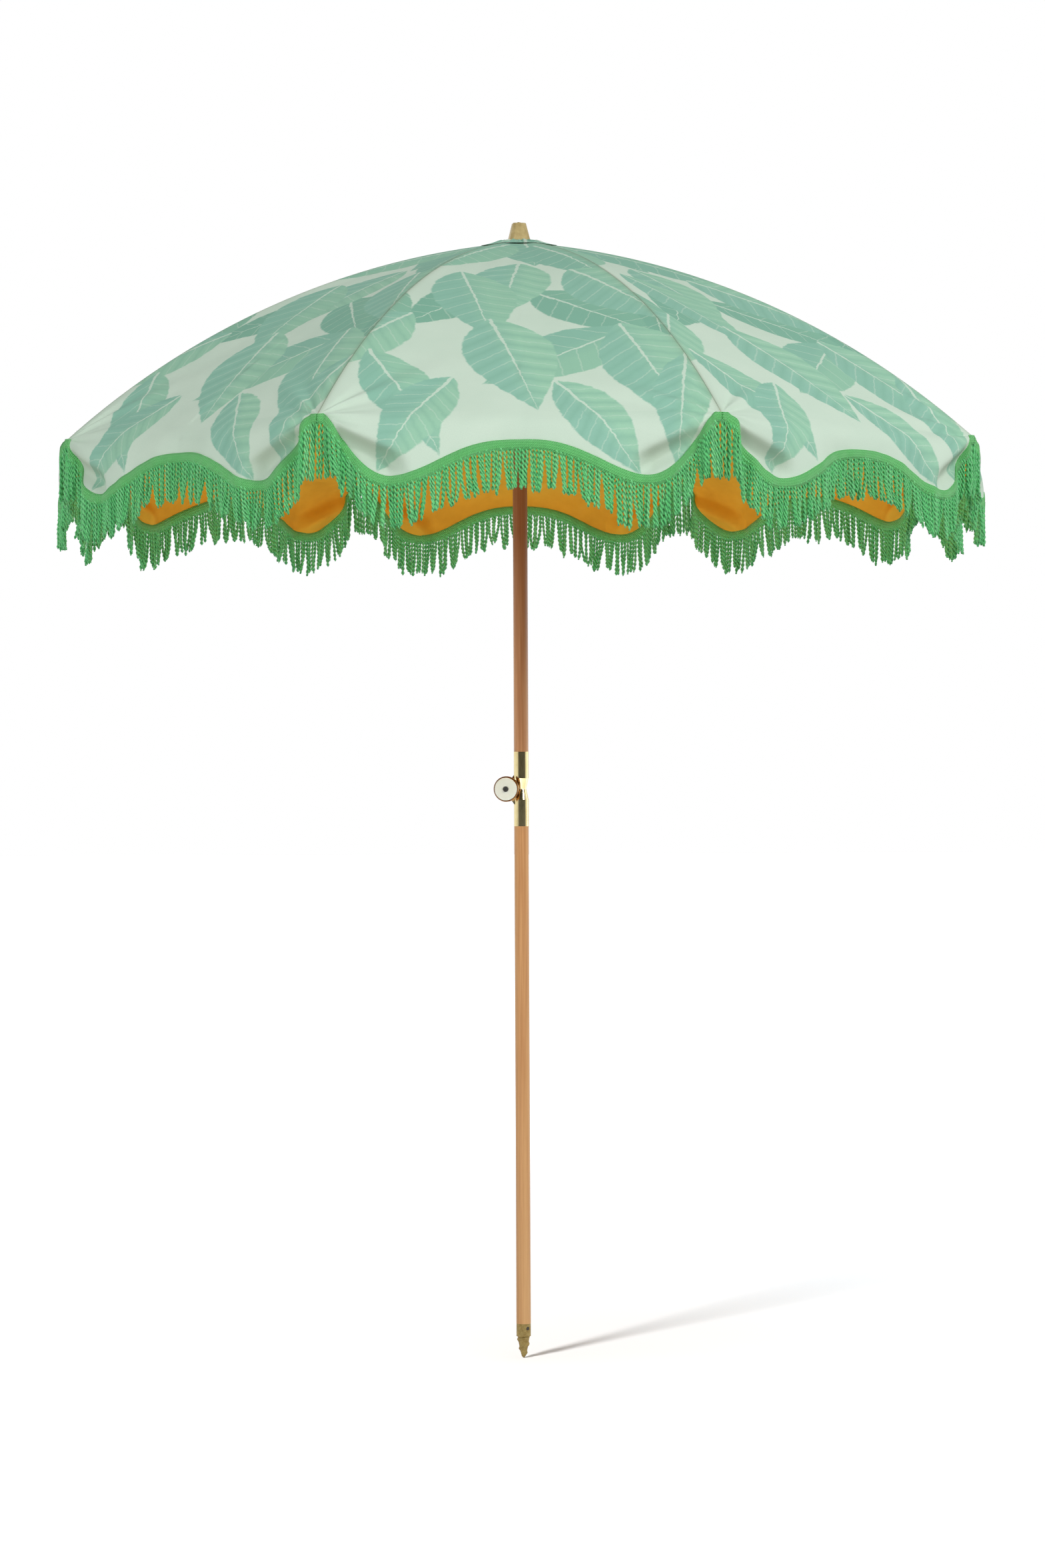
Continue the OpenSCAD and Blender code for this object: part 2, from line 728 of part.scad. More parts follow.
ground_spike();
spike_socket();
spike_screw();
lower_pole();
lower_ferrule();
rivet(z_ferrule + tenon_len / 2, lower_rivet_turn);  // lower_rivet
pivot_bolt();
knob_washer();
tilt_knob();
knob_face();
knob_screw();
upper_ferrule();
rivet(z_upper - tenon_len / 2, upper_rivet_turn);  // upper_rivet
upper_pole();
crown();
crown_pins();
canopy_cap();
finial_stud();
finial();
runner();
runner_pins();
runner_thumbscrew();
for (i = [1:rib_count]) rib(i);
for (i = [1:rib_count]) stretcher(i);
for (i = [1:rib_count]) canopy_panel(i);
for (i = [1:rib_count]) valance(i);
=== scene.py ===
"""Looks of the beach umbrella: canopy, fringe, wood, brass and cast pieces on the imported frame."""

import math

import bpy
import numpy as np
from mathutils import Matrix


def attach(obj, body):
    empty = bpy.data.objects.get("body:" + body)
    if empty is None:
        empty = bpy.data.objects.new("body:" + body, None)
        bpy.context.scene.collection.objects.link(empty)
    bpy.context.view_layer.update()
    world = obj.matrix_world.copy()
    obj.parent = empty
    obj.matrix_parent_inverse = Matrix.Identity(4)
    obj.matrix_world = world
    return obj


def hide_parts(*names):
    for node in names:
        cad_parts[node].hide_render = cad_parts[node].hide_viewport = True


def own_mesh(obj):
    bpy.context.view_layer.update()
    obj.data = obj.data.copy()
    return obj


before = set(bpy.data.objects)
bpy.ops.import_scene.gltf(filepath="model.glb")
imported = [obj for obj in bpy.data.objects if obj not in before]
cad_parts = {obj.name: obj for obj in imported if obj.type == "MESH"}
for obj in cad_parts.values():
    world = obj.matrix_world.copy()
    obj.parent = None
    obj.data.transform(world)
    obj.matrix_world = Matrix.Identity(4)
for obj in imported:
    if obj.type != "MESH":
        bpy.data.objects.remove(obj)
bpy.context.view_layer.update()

GORES = 8
HALF = math.pi / GORES

# Rib arc and cloth heights, in metres, as in the part's source
ARC_MID = (-0.217543, 0.606084)
ARC_R = 1.85703
ROOT_ANGLE = math.radians(82.2151)
TIP_ANGLE = math.radians(48.4573)
CLOTH_FROM = ROOT_ANGLE - 0.010 / ARC_R
CLOTH_TO = TIP_ANGLE - 0.006 / ARC_R
CLOTH_OUT = 0.0062
CLOTH_IN = 0.0048
SLEEVE_OUT = 0.0041
SLEEVE_IN = 0.0035
SEAM_GAP = 0.0003
SAG = 0.014
EDGE_S = (CLOTH_FROM - CLOTH_TO) * ARC_R

# Hem, braid and fringe
HEM_LOBE = 0.129
HEM_MID = 0.059
HEM_CORNER = 0.005
LOBE_AT = 0.64
LOBE_EASE = 1.3
ARCH_FLAT = 0.07
ARCH_EASE = 0.65
BRAID_H = 0.016
FRINGE_LEN = 0.094
ARCH_DROP = 0.030
ROPE_PITCH = 0.0074
ROPE_R = 0.0044
EDGE_HALF = 0.388
HEM_PAST = 1.006

# Tuck beside each rib: FROM is a point on its fold line; IN, OUT and RETURN are a start and a run
TUCK_FROM = (0.040, 0.030)
TUCK_SLOPE = 0.46
TUCK_SOFT = 0.004
TUCK_DEPTH = 0.040
TUCK_RUN = 0.020
TUCK_BACK = 0.6
TUCK_IN = (0.015, 0.03)
TUCK_OUT = (0.13, 0.05)
TUCK_RETURN = (0.024, 0.032)
# Strength of the painted shade under the fold
TUCK_SHADE = 0.75

# How the hanging cloth turns down from the slope of the ribs
DRAPE_START = math.pi / 2 - CLOTH_TO
DRAPE_END = math.radians(88)
DRAPE_TURN = 0.066

# Pulls from the rib tips, slow waves, puckers and seams, and how the hanging cloth stands out
GORE_TOP = 0.016
GORE_WIDER = 0.374
PULL_ABOVE = 0.006
PULL_REACH = 0.07
PULL_HIGH = 0.0032
PULL_EDGE = 0.03
WAVE_HIGH = 0.0011
WAVE_FROM = 0.3
PULL_FADE = 0.12
LOBE_FULL = 0.017
LOBE_FROM = 0.12
FOLD_HIGH = (0.0055, 0.004)
CURL_IN = 0.006
CURL_FROM = 0.76
PUCKER_HIGH = 0.0011
PUCKER_RUN = 0.018
SEAM_DEEP = 0.0009
SEAM_WIDE = 0.0022
# Painted shade along each seam: its strength, and how fast it fades away from the seam
SEAM_SHADE = 0.5
SEAM_SOFT = 0.005

# Bunches of fringe cords, and each cord
BUNCH_COUNT = (2, 6)
BUNCH_LEAN = 0.0035
BUNCH_FALL = 0.004
BUNCH_PULL = (0.2, 0.75)
BUNCH_SPREAD = 0.0014
BUNCH_UNEVEN = 0.004
ARCH_PULL = 0.1
ARCH_NEAR = 0.03
ARCH_REACH = 0.07
ROPE_STRAY = 0.0012
ROPE_FALL = 0.0022
ROPE_UNEVEN = 0.0035
ROPE_UNDER = 0.004
ROPE_MORE = 0.006
ROPE_SWAY = 0.0011
ROPE_RINGS = 19
ROPE_SIDES = 8
ROPE_TURNS = 0.088 / 0.021

# Rib sleeves: half width at shares of the rib's length
SLEEVE_AT = (0, 0.2, 0.45, 0.7, 0.85, 1)
SLEEVE_HALF = (0.012, 0.048, 0.066, 0.056, 0.032, 0.010)
SLEEVE_ENDS = (0.005, 0.010)
SLEEVE_ROOM = 0.9
SLEEVE_PRINT = 0.045

# Tilt hinge and its knob
Z_PIVOT = 1.254
PIVOT_OFF = 0.028
HINGE_TURN = math.radians(12)
KNOB_Y = 0.0141
KNOB_R = 0.028
KNOB_H = 0.018
FACE_R = 0.025
KNOB_SIDES = 96
KNOB_CRISP = 40

# Ground spike, with the run over which its thread grows and ends
SPIKE_H = 0.048
SPIKE_TIP = 0.0016
SPIKE_TOP = 0.0133
SPIKE_BLUNT = 0.003
THREAD_PITCH = 0.020
THREAD_WIDE = 0.17
THREAD_HIGH = 0.0024
THREAD_ENDS = (0.012, 0.004)

# Crown, and the cloth cap drawn up over it
Z_FINIAL = 2.4583
CROWN_FLAT = 0.028
CROWN_R = 0.040
CROWN_BEVEL = 0.003
CAP_SPLIT = 0.036
CAP_R = 0.088
CAP_OVER = 0.0012
CAP_THICK = 0.001
CAP_HOLE = 0.0035
CAP_DRAWN = 0.04
PLEAT_LIFT = 0.0024
PLEAT_ENDS = (0.014, 0.04)
PLEAT_FLAT = 0.002

# Points along and across the sheets
PANEL_ROWS = 81
EDGE_ROWS = 25
GORE_COLUMNS = 96
SLEEVE_COLUMNS = 17
HEM_POINTS = 2001
BRAID_POINTS = 221


def srgb(red, green, blue):
    """A linear colour from 0 to 255 display values."""
    out = []
    for value in (red, green, blue):
        v = value / 255
        out.append(v / 12.92 if v <= 0.04045 else ((v + 0.055) / 1.055) ** 2.4)
    return (*out, 1.0)


# Small helpers for meshes


def make_object(name, verts, faces, materials, face_slots=None, smooth=True, flat_from=None):
    """A mesh object; faces from flat_from on are shaded flat, so a rim doesn't bend the shading by it."""
    mesh = bpy.data.meshes.new(name)
    mesh.from_pydata([tuple(v) for v in verts], [], faces)
    for material in materials:
        mesh.materials.append(material)
    if face_slots is not None:
        mesh.polygons.foreach_set("material_index", np.asarray(face_slots, dtype=np.int32))
    shaded = np.full(len(mesh.polygons), smooth, dtype=bool)
    if flat_from is not None:
        shaded[flat_from:] = False
    mesh.polygons.foreach_set("use_smooth", shaded)
    mesh.update()
    obj = bpy.data.objects.new(name, mesh)
    bpy.context.scene.collection.objects.link(obj)
    return obj


def add_vectors(obj, name, values):
    """A vector for each vertex, which the materials read by name."""
    layer = obj.data.attributes.new(name, "FLOAT_VECTOR", "POINT")
    layer.data.foreach_set("vector", np.asarray(values, dtype=np.float32).ravel())


def turn_z(points, angle):
    c, s = math.cos(angle), math.sin(angle)
    out = np.array(points, dtype=float)
    out[..., 0] = points[..., 0] * c - points[..., 1] * s
    out[..., 1] = points[..., 0] * s + points[..., 1] * c
    return out


def grid_quads(rows, cols, first=0, flip=False):
    """Quads over a grid of (rows + 1) by (cols + 1) points."""
    quads = []
    for r in range(rows):
        for c in range(cols):
            a = first + r * (cols + 1) + c
            quad = (a, a + 1, a + cols + 2, a + cols + 1)
            quads.append(quad[::-1] if flip else quad)
    return quads


def border_loop(rows, cols, first=0):
    top = [first + c for c in range(cols + 1)]
    right = [first + r * (cols + 1) + cols for r in range(1, rows + 1)]
    bottom = [first + rows * (cols + 1) + cols - c for c in range(1, cols + 1)]
    left = [first + (rows - r) * (cols + 1) for r in range(1, rows)]
    return top + right + bottom + left


def sheet_object(name, outer, inner, cloth, materials, normals=None):
    """A closed thin sheet between two grids: slot 0 outside and on the rim, slot 1 inside."""
    rows, cols = outer.shape[0] - 1, outer.shape[1] - 1
    count = outer.shape[0] * outer.shape[1]
    faces = grid_quads(rows, cols, flip=True) + grid_quads(rows, cols, count)
    slots = [0] * (rows * cols) + [1] * (rows * cols)
    top, under = border_loop(rows, cols), border_loop(rows, cols, count)
    for k, a in enumerate(top):
        n = (k + 1) % len(top)
        faces.append((a, top[n], under[n], under[k]))
        slots.append(0)
    verts = np.concatenate([outer.reshape(-1, 3), inner.reshape(-1, 3)])
    obj = make_object(name, verts, faces, materials, slots, flat_from=2 * rows * cols)
    both = np.concatenate([cloth.reshape(-1, 3), cloth.reshape(-1, 3)])
    add_vectors(obj, "cloth", both)
    if normals is not None:
        facing = np.concatenate([normals.reshape(-1, 3), -normals.reshape(-1, 3)])
        obj.data.normals_split_custom_set_from_vertices(facing.tolist())
    return obj


def tube_faces(rings, sides, first=0, flip=False):
    """Quads between rings of points, and a face over each end."""
    faces = []
    for a in range(first, first + (rings - 1) * sides, sides):
        for s in range(sides):
            n = (s + 1) % sides
            faces.append((a + s, a + n, a + sides + n, a + sides + s))
    end = first + (rings - 1) * sides
    faces.append(tuple(range(first, first + sides))[::-1])
    faces.append(tuple(range(end, end + sides)))
    return [(face[0], *face[:0:-1]) for face in faces] if flip else faces


def lathe(name, profile, sides, material):
    """A turned piece about Z: profile is (radius, height) from one end to the other."""
    prof = np.array(profile, dtype=float)
    ang = np.linspace(0, 2 * math.pi, sides, endpoint=False)
    rings = np.zeros((len(prof), sides, 3))
    rings[..., 0] = prof[:, :1] * np.cos(ang)
    rings[..., 1] = prof[:, :1] * np.sin(ang)
    rings[..., 2] = prof[:, 1:2]
    return make_object(name, rings.reshape(-1, 3), tube_faces(len(prof), sides), [material])


def mark_sharp(obj, degrees):
    """Keeps edges sharper than an angle crisp in smooth shading."""
    limit = math.radians(degrees)
    mesh = obj.data
    normals = [p.normal.copy() for p in mesh.polygons]
    sides = {}
    for poly in mesh.polygons:
        for key in poly.edge_keys:
            sides.setdefault(key, []).append(poly.index)
    sharp = mesh.attributes.new("sharp_edge", "BOOLEAN", "EDGE")
    for edge in mesh.edges:
        pair = sides.get(edge.key, [])
        if len(pair) == 2 and normals[pair[0]].angle(normals[pair[1]], 0) > limit:
            sharp.data[edge.index].value = True


# Small helpers for materials


class Nodes:
    """A node tree with short calls to add and join nodes."""

    def __init__(self, tree):
        self.tree = tree

    def add(self, kind, **settings):
        node = self.tree.nodes.new(kind)
        for key, value in settings.items():
            setattr(node, key, value)
        return node

    def join(self, source, target):
        self.tree.links.new(source, target)

    def feed(self, socket, value):
        if isinstance(value, bpy.types.NodeSocket):
            self.join(value, socket)
        else:
            socket.default_value = value

    def settle(self, node, values):
        """Joins or sets a node's inputs by name."""
        for name, value in values.items():
            self.feed(node.inputs[name], value)

    def math(self, operation, a, b=0.0, c=0.0, clamp=False):
        node = self.add("ShaderNodeMath", operation=operation, use_clamp=clamp)
        self.feed(node.inputs[0], a)
        self.feed(node.inputs[1], b)
        self.feed(node.inputs[2], c)
        return node.outputs[0]

    def times(self, a, b, clamp=False):
        return self.math("MULTIPLY", a, b, clamp=clamp)

    def most(self, a, b):
        return self.math("MAXIMUM", a, b)

    def mix(self, factor, a, b):
        node = self.add("ShaderNodeMix", data_type="RGBA")
        self.feed(node.inputs[0], factor)
        self.feed(node.inputs[6], a)
        self.feed(node.inputs[7], b)
        return node.outputs[2]

    def noise(self, vector, scale, detail=3.0, rough=0.55, output="Fac"):
        node = self.add("ShaderNodeTexNoise")
        self.settle(node, {"Vector": vector, "Scale": scale, "Detail": detail, "Roughness": rough})
        return node.outputs[output]

    def parts(self, vector):
        node = self.add("ShaderNodeSeparateXYZ")
        self.join(vector, node.inputs[0])
        return node.outputs

    def stretch(self, vector, scale):
        node = self.add("ShaderNodeMapping")
        self.settle(node, {"Vector": vector, "Scale": scale})
        return node.outputs[0]

    def ramp(self, factor, stops):
        node = self.add("ShaderNodeValToRGB")
        self.join(factor, node.inputs[0])
        items = node.color_ramp.elements
        while len(items) < len(stops):
            items.new(0.5)
        for item, (place, colour) in zip(items, stops):
            item.position = place
            item.color = colour
        return node.outputs[0]

    def range(self, value, low, high, to_low, to_high):
        node = self.add("ShaderNodeMapRange", clamp=True)
        self.settle(node, {"Value": value, "From Min": low, "From Max": high})
        self.settle(node, {"To Min": to_low, "To Max": to_high})
        return node.outputs[0]

    def tint(self, value, low, high, share, colour, other):
        """Mixes a colour towards another as a value rises from low to high."""
        return self.mix(self.range(value, low, high, 0.0, share), colour, other)

    def attribute(self, name, output="Vector"):
        return self.add("ShaderNodeAttribute", attribute_name=name).outputs[output]

    def bump(self, height, strength, distance, normal=None):
        node = self.add("ShaderNodeBump")
        self.settle(node, {"Strength": strength, "Distance": distance, "Height": height})
        if normal is not None:
            self.join(normal, node.inputs["Normal"])
        return node.outputs[0]

    def place(self):
        """Rest position in metres, in the object's own frame."""
        return self.add("ShaderNodeTexCoord").outputs["Object"]


def new_material(name):
    material = bpy.data.materials.new(name)
    material.use_nodes = True
    nodes = Nodes(material.node_tree)
    shader = material.node_tree.nodes["Principled BSDF"]
    return material, nodes, shader


# Materials: cloth

GROUND = srgb(213, 232, 214)
GROUND_DEEP = srgb(204, 226, 207)
LEAF_TEAL = srgb(152, 202, 181)
LEAF_LIGHT = srgb(168, 216, 186)
LEAF_DEEP = srgb(130, 184, 160)
THREAD = srgb(120, 150, 135)
HEM_PALE = srgb(232, 238, 230)
# Colour of the painted shade under the folds and along the seams
FOLD_SHADE = srgb(140, 150, 122)
LINING_DEEP = srgb(222, 162, 46)
LINING_MID = srgb(234, 176, 54)
LINING_LIGHT = srgb(240, 188, 70)
CORD_DEEP = srgb(104, 208, 126)
CORD_MID = srgb(118, 220, 138)
CORD_LIGHT = srgb(136, 228, 152)
CORD_PAINTED_SHADE = srgb(44, 102, 70)
CORD_FIBRE = srgb(84, 180, 114)
BRAID_STITCH_SHADE = srgb(80, 172, 94)
BRAID_MID = srgb(116, 212, 124)
BRAID_LIGHT = srgb(134, 220, 140)
WANDER = 0.014
THREAD_GAP = 0.0016
STITCH = 0.0042
STITCH_ROW = 0.005


def leaf_group():
    """One broad leaf over a colour: pale midrib, side veins, a lighter half and a brushed edge."""
    tree = bpy.data.node_groups.new("broad_leaf", "ShaderNodeTree")
    kinds = {"Color": "Color", "Vector": "Vector", "Base": "Vector"}
    for name in ("Color", "Vector", "Base", "Angle", "Length", "Width", "Shade"):
        kind = kinds.get(name, "Float")
        tree.interface.new_socket(name, in_out="INPUT", socket_type=f"NodeSocket{kind}")
    tree.interface.new_socket("Color", in_out="OUTPUT", socket_type="NodeSocketColor")
    n = Nodes(tree)
    given = n.add("NodeGroupInput")
    result = n.add("NodeGroupOutput")
    shift = n.add("ShaderNodeVectorMath", operation="SUBTRACT")
    n.join(given.outputs["Vector"], shift.inputs[0])
    n.join(given.outputs["Base"], shift.inputs[1])
    turned = n.add("ShaderNodeVectorRotate", rotation_type="Z_AXIS")
    n.settle(turned, {"Vector": shift.outputs[0], "Angle": given.outputs["Angle"]})
    part = n.parts(turned.outputs[0])
    across, along = part[0], part[1]
    share = n.math("DIVIDE", along, given.outputs["Length"], clamp=True)
    swell = n.math("SINE", n.times(n.math("POWER", share, 0.8), math.pi))
    reach = n.times(swell, given.outputs["Width"])
    away = n.math("ABSOLUTE", across)
    mask = n.times(n.math("SUBTRACT", reach, away), 260.0, clamp=True)
    slant = n.math("DIVIDE", across, given.outputs["Width"])
    tone = n.math("MULTIPLY_ADD", slant, 1.6, 0.45, clamp=True)
    blade = n.mix(tone, LEAF_TEAL, LEAF_LIGHT)
    steep = n.times(n.math("DIVIDE", away, given.outputs["Width"]), 1.1)
    wave = n.math("FRACT", n.math("SUBTRACT", n.times(share, 8.0), steep))
    crest = n.math("ABSOLUTE", n.math("SUBTRACT", wave, 0.5))
    vein = n.range(crest, 0.44, 0.5, 0.0, 0.42)
    dusk = n.range(crest, 0.0, 0.4, 0.45, 0.0)
    blade = n.mix(n.most(dusk, given.outputs["Shade"]), blade, LEAF_DEEP)
    blade = n.mix(vein, blade, GROUND)
    thick = n.math("MULTIPLY_ADD", share, -0.0035, 0.0045)
    spine = n.times(n.math("SUBTRACT", thick, away), 700.0, clamp=True)
    blade = n.mix(n.times(spine, 0.85), blade, GROUND)
    n.join(n.mix(mask, given.outputs["Color"], blade), result.inputs[0])
    return tree


# Base across and down the gore, angle from straight down, length, half width and shade of each printed leaf
LEAVES = [
    ((-0.110, 0.200), -42, 0.34, 0.070, 0.9),
    ((0.090, 0.170), 46, 0.34, 0.070, 0.8),
    ((0.250, 0.470), 6, 0.38, 0.080, 0.9),
    ((-0.270, 0.520), -8, 0.36, 0.074, 0.7),
    ((0.020, 0.540), 44, 0.36, 0.076, 0.8),
    ((-0.010, 0.480), -40, 0.36, 0.072, 0.9),
    ((0.010, 0.000), 4, 0.36, 0.084, 0.5),
    ((-0.020, 0.075), -24, 0.36, 0.074, 0.4),
    ((0.030, 0.110), 22, 0.40, 0.080, 0.5),
    ((0.000, 0.330), -6, 0.36, 0.084, 0.2),
    ((-0.120, 0.420), 10, 0.38, 0.088, 0.3),
    ((0.105, 0.400), 30, 0.40, 0.090, 0.2),
    ((0.225, 0.760), -52, 0.38, 0.090, 0.4),
    ((-0.215, 0.690), -40, 0.34, 0.082, 0.2),
    ((-0.060, 0.700), 14, 0.40, 0.094, 0.1),
    ((0.200, 0.740), 18, 0.42, 0.092, 0.2),
    ((-0.300, 0.860), 24, 0.36, 0.070, 0.3),
    ((0.330, 0.880), -4, 0.34, 0.060, 0.1),
    ((-0.130, 0.960), -30, 0.30, 0.066, 0.2),
    ((0.070, 0.980), 34, 0.30, 0.060, 0.1),
]


def weave(n, vector, spacing):
    """Plain weave as a height: crossing threads at a spacing in metres."""
    part = n.parts(vector)
    turns = 2 * math.pi / spacing
    warp = n.math("SINE", n.times(part[0], turns))
    weft = n.math("SINE", n.times(part[1], turns))
    return n.times(warp, weft)


def print_material():
    material, n, shader = new_material("canopy_print")
    cloth = n.attribute("cloth")
    wander = n.noise(cloth, 38.0, 4.0, 0.7, output="Color")
    offset = n.add("ShaderNodeVectorMath", operation="MULTIPLY_ADD")
    n.join(wander, offset.inputs[0])
    offset.inputs[1].default_value = (WANDER, WANDER, 0.0)
    n.join(cloth, offset.inputs[2])
    group = leaf_group()
    fade = n.noise(cloth, 7.0, 3.0)
    colour = n.tint(fade, 0.35, 0.7, 0.5, GROUND, GROUND_DEEP)
    for base, angle, length, width, shade in LEAVES:
        leaf = n.add("ShaderNodeGroup", node_tree=group)
        foot = (base[0] + WANDER / 2, base[1] + WANDER / 2, 0)
        n.settle(leaf, {"Color": colour, "Vector": offset.outputs[0], "Base": foot})
        n.settle(leaf, {"Angle": math.radians(angle), "Length": length, "Width": width, "Shade": shade})
        colour = leaf.outputs[0]
    part = n.parts(cloth)
    colour = n.mix(n.range(part[2], 0.002, 0.005, 0.75, 0.0), colour, HEM_PALE)
    # Painted shade under the folds of the hanging cloth and along the seams, read from the fold attribute
    colour = n.mix(n.attribute("fold", "Fac"), colour, FOLD_SHADE)
    thread = n.noise(n.stretch(cloth, (900, 300, 1)), 1.0, 2.0)
    colour = n.tint(thread, 0.3, 0.7, 0.08, colour, THREAD)
    n.settle(shader, {"Base Color": colour, "Roughness": 0.88, "Specular IOR Level": 0.1})
    n.settle(shader, {"Sheen Weight": 0.04, "Sheen Roughness": 0.5})
    rumple = n.noise(cloth, 22.0, 3.0, 0.5)
    normal = n.bump(rumple, 0.25, 0.004)
    normal = n.bump(weave(n, cloth, THREAD_GAP), 0.25, 0.0003, normal)
    n.settle(shader, {"Normal": normal})
    return material


def lining_material():
    material, n, shader = new_material("canopy_lining")
    cloth = n.attribute("cloth")
    patch = n.noise(cloth, 9.0, 4.0, 0.6)
    colour = n.ramp(patch, [(0.3, LINING_DEEP), (0.55, LINING_MID), (0.8, LINING_LIGHT)])
    n.settle(shader, {"Base Color": colour, "Roughness": 0.85, "Specular IOR Level": 0.25})
    fold = n.noise(n.stretch(cloth, (14, 3, 1)), 1.0, 3.0, 0.5)
    normal = n.bump(fold, 0.5, 0.008)
    normal = n.bump(weave(n, cloth, THREAD_GAP), 0.25, 0.0003, normal)
    n.settle(shader, {"Normal": normal})
    return material


def rope_material():
    """Cotton cord: each a little different, with painted shade between its plies and beside its neighbours.
    """
    material, n, shader = new_material("fringe_cord")
    island = n.add("ShaderNodeNewGeometry").outputs["Random Per Island"]
    cord = n.attribute("cloth")
    colour = n.ramp(island, [(0.0, CORD_DEEP), (0.5, CORD_MID), (1.0, CORD_LIGHT)])
    fibre = n.noise(n.stretch(cord, (600, 600, 160)), 1.0, 3.0)
    colour = n.tint(fibre, 0.35, 0.75, 0.35, colour, CORD_FIBRE)
    part = n.parts(n.attribute("ply"))
    # Painted shade between the two plies of each cord
    ply_shade = n.range(part[0], 0.0, 0.55, 0.75, 0.0)
    colour = n.mix(ply_shade, colour, CORD_PAINTED_SHADE)
    # Painted shade beside the neighbouring cords
    beside = n.range(part[1], 0.1, 0.7, 0.45, 0.0)
    colour = n.mix(beside, colour, CORD_PAINTED_SHADE)
    n.settle(shader, {"Base Color": colour, "Roughness": 0.9, "Specular IOR Level": 0.2})
    n.settle(shader, {"Sheen Weight": 0.2, "Normal": n.bump(fibre, 0.4, 0.0008)})
    return material


def braid_material():
    """Woven header of the fringe, with slanting stitches along its length and painted shade between them.
    """
    material, n, shader = new_material("fringe_braid")
    along = n.attribute("cloth")
    part = n.parts(along)
    lean = n.math("MULTIPLY_ADD", part[1], 0.9, part[0])
    stitch = n.math("SINE", n.times(lean, 2 * math.pi / STITCH))
    rows = n.math("SINE", n.times(part[1], 2 * math.pi / STITCH_ROW))
    height = n.math("ADD", stitch, n.times(rows, 0.5))
    soft = n.noise(along, 160.0, 3.0)
    # Darker where the stitches are low: painted shade between them
    colour = n.mix(n.range(height, -1.3, 0.2, 0.6, 0.0), BRAID_MID, BRAID_STITCH_SHADE)
    colour = n.tint(soft, 0.4, 0.8, 0.3, colour, BRAID_LIGHT)
    n.settle(shader, {"Base Color": colour, "Roughness": 0.9, "Specular IOR Level": 0.2})
    n.settle(shader, {"Sheen Weight": 0.2, "Normal": n.bump(height, 0.7, 0.0012)})
    return material


# Materials: wood and metal

# Colour of the painted shade that the canopy throws on the top of the upper pole
WOOD_SHADED = srgb(126, 66, 34)


def wood_material(name, light, mid, dark, coat, canopy_shade_heights=None):
    """Straight-grained varnished wood along Z, with the canopy's shade painted in, darker towards the top
    between two heights when these are given.
    """
    material, n, shader = new_material(name)
    place = n.place()
    broad = n.noise(n.stretch(place, (26, 26, 0.9)), 1.0, 3.0, 0.5)
    grain = n.noise(n.stretch(place, (260, 260, 4.0)), 1.0, 4.0, 0.6)
    pores = n.noise(n.stretch(place, (1500, 1500, 26)), 1.0, 2.0, 0.5)
    both = n.math("ADD", n.times(broad, 0.55), n.times(grain, 0.45))
    colour = n.ramp(both, [(0.36, dark), (0.5, mid), (0.64, light)])
    colour = n.tint(pores, 0.58, 0.75, 0.35, colour, dark)
    if canopy_shade_heights is not None:
        # Painted shade of the canopy, deepening upwards
        part = n.parts(place)
        colour = n.tint(part[2], *canopy_shade_heights, 0.7, colour, WOOD_SHADED)
    n.settle(shader, {"Base Color": colour, "Roughness": n.range(grain, 0.3, 0.7, 0.38, 0.52)})
    n.settle(shader, {"Specular IOR Level": 0.3, "Coat Weight": coat, "Coat Roughness": 0.25})
    n.settle(shader, {"Normal": n.bump(grain, 0.08, 0.0006)})
    return material


def metal_material(name, bright, dull, rough_low, rough_high, scale, bump, stretch=(1, 1, 1)):
    """Metal with blotches of a duller tone, and fine marks in its roughness."""
    material, n, shader = new_material(name)
    place = n.place()
    blotch = n.noise(n.stretch(place, stretch), scale, 4.0, 0.6)
    marks = n.noise(n.stretch(place, (1, 1, 0.15)), 900.0, 3.0, 0.6)
    n.settle(shader, {"Base Color": n.tint(blotch, 0.35, 0.7, 1.0, bright, dull), "Metallic": 1.0})
    both = n.math("ADD", n.times(blotch, 0.5), n.times(marks, 0.5))
    n.settle(shader, {"Roughness": n.range(both, 0.35, 0.65, rough_low, rough_high)})
    n.settle(shader, {"Normal": n.bump(marks, bump, 0.0002)})
    return material


def cast_material():
    """Sand-cast brass: grainy, dull, darker in the hollows."""
    material, n, shader = new_material("cast_brass")
    place = n.place()
    grit = n.noise(place, 700.0, 5.0, 0.65)
    patch = n.noise(place, 90.0, 3.0, 0.6)
    colour = n.tint(patch, 0.35, 0.7, 1.0, srgb(178, 158, 102), srgb(146, 122, 68))
    colour = n.tint(grit, 0.45, 0.75, 0.6, colour, srgb(106, 84, 42))
    n.settle(shader, {"Base Color": colour, "Metallic": 0.75})
    n.settle(shader, {"Roughness": n.range(grit, 0.3, 0.7, 0.45, 0.65)})
    n.settle(shader, {"Normal": n.bump(grit, 0.5, 0.0012)})
    return material


def face_material():
    """Glossy pale lacquer with faint unevenness."""
    material, n, shader = new_material("knob_lacquer")
    place = n.place()
    cloud = n.noise(place, 60.0, 3.0, 0.5)
    speck = n.noise(place, 1200.0, 2.0, 0.5)
    colour = n.tint(cloud, 0.35, 0.7, 1.0, srgb(252, 255, 242), srgb(246, 251, 234))
    colour = n.tint(speck, 0.6, 0.8, 0.12, colour, srgb(180, 195, 175))
    n.settle(shader, {"Base Color": colour, "Roughness": n.range(cloud, 0.3, 0.7, 0.3, 0.42)})
    n.settle(shader, {"Coat Weight": 0.4, "Coat Roughness": 0.1, "Normal": n.bump(cloud, 0.05, 0.002)})
    return material


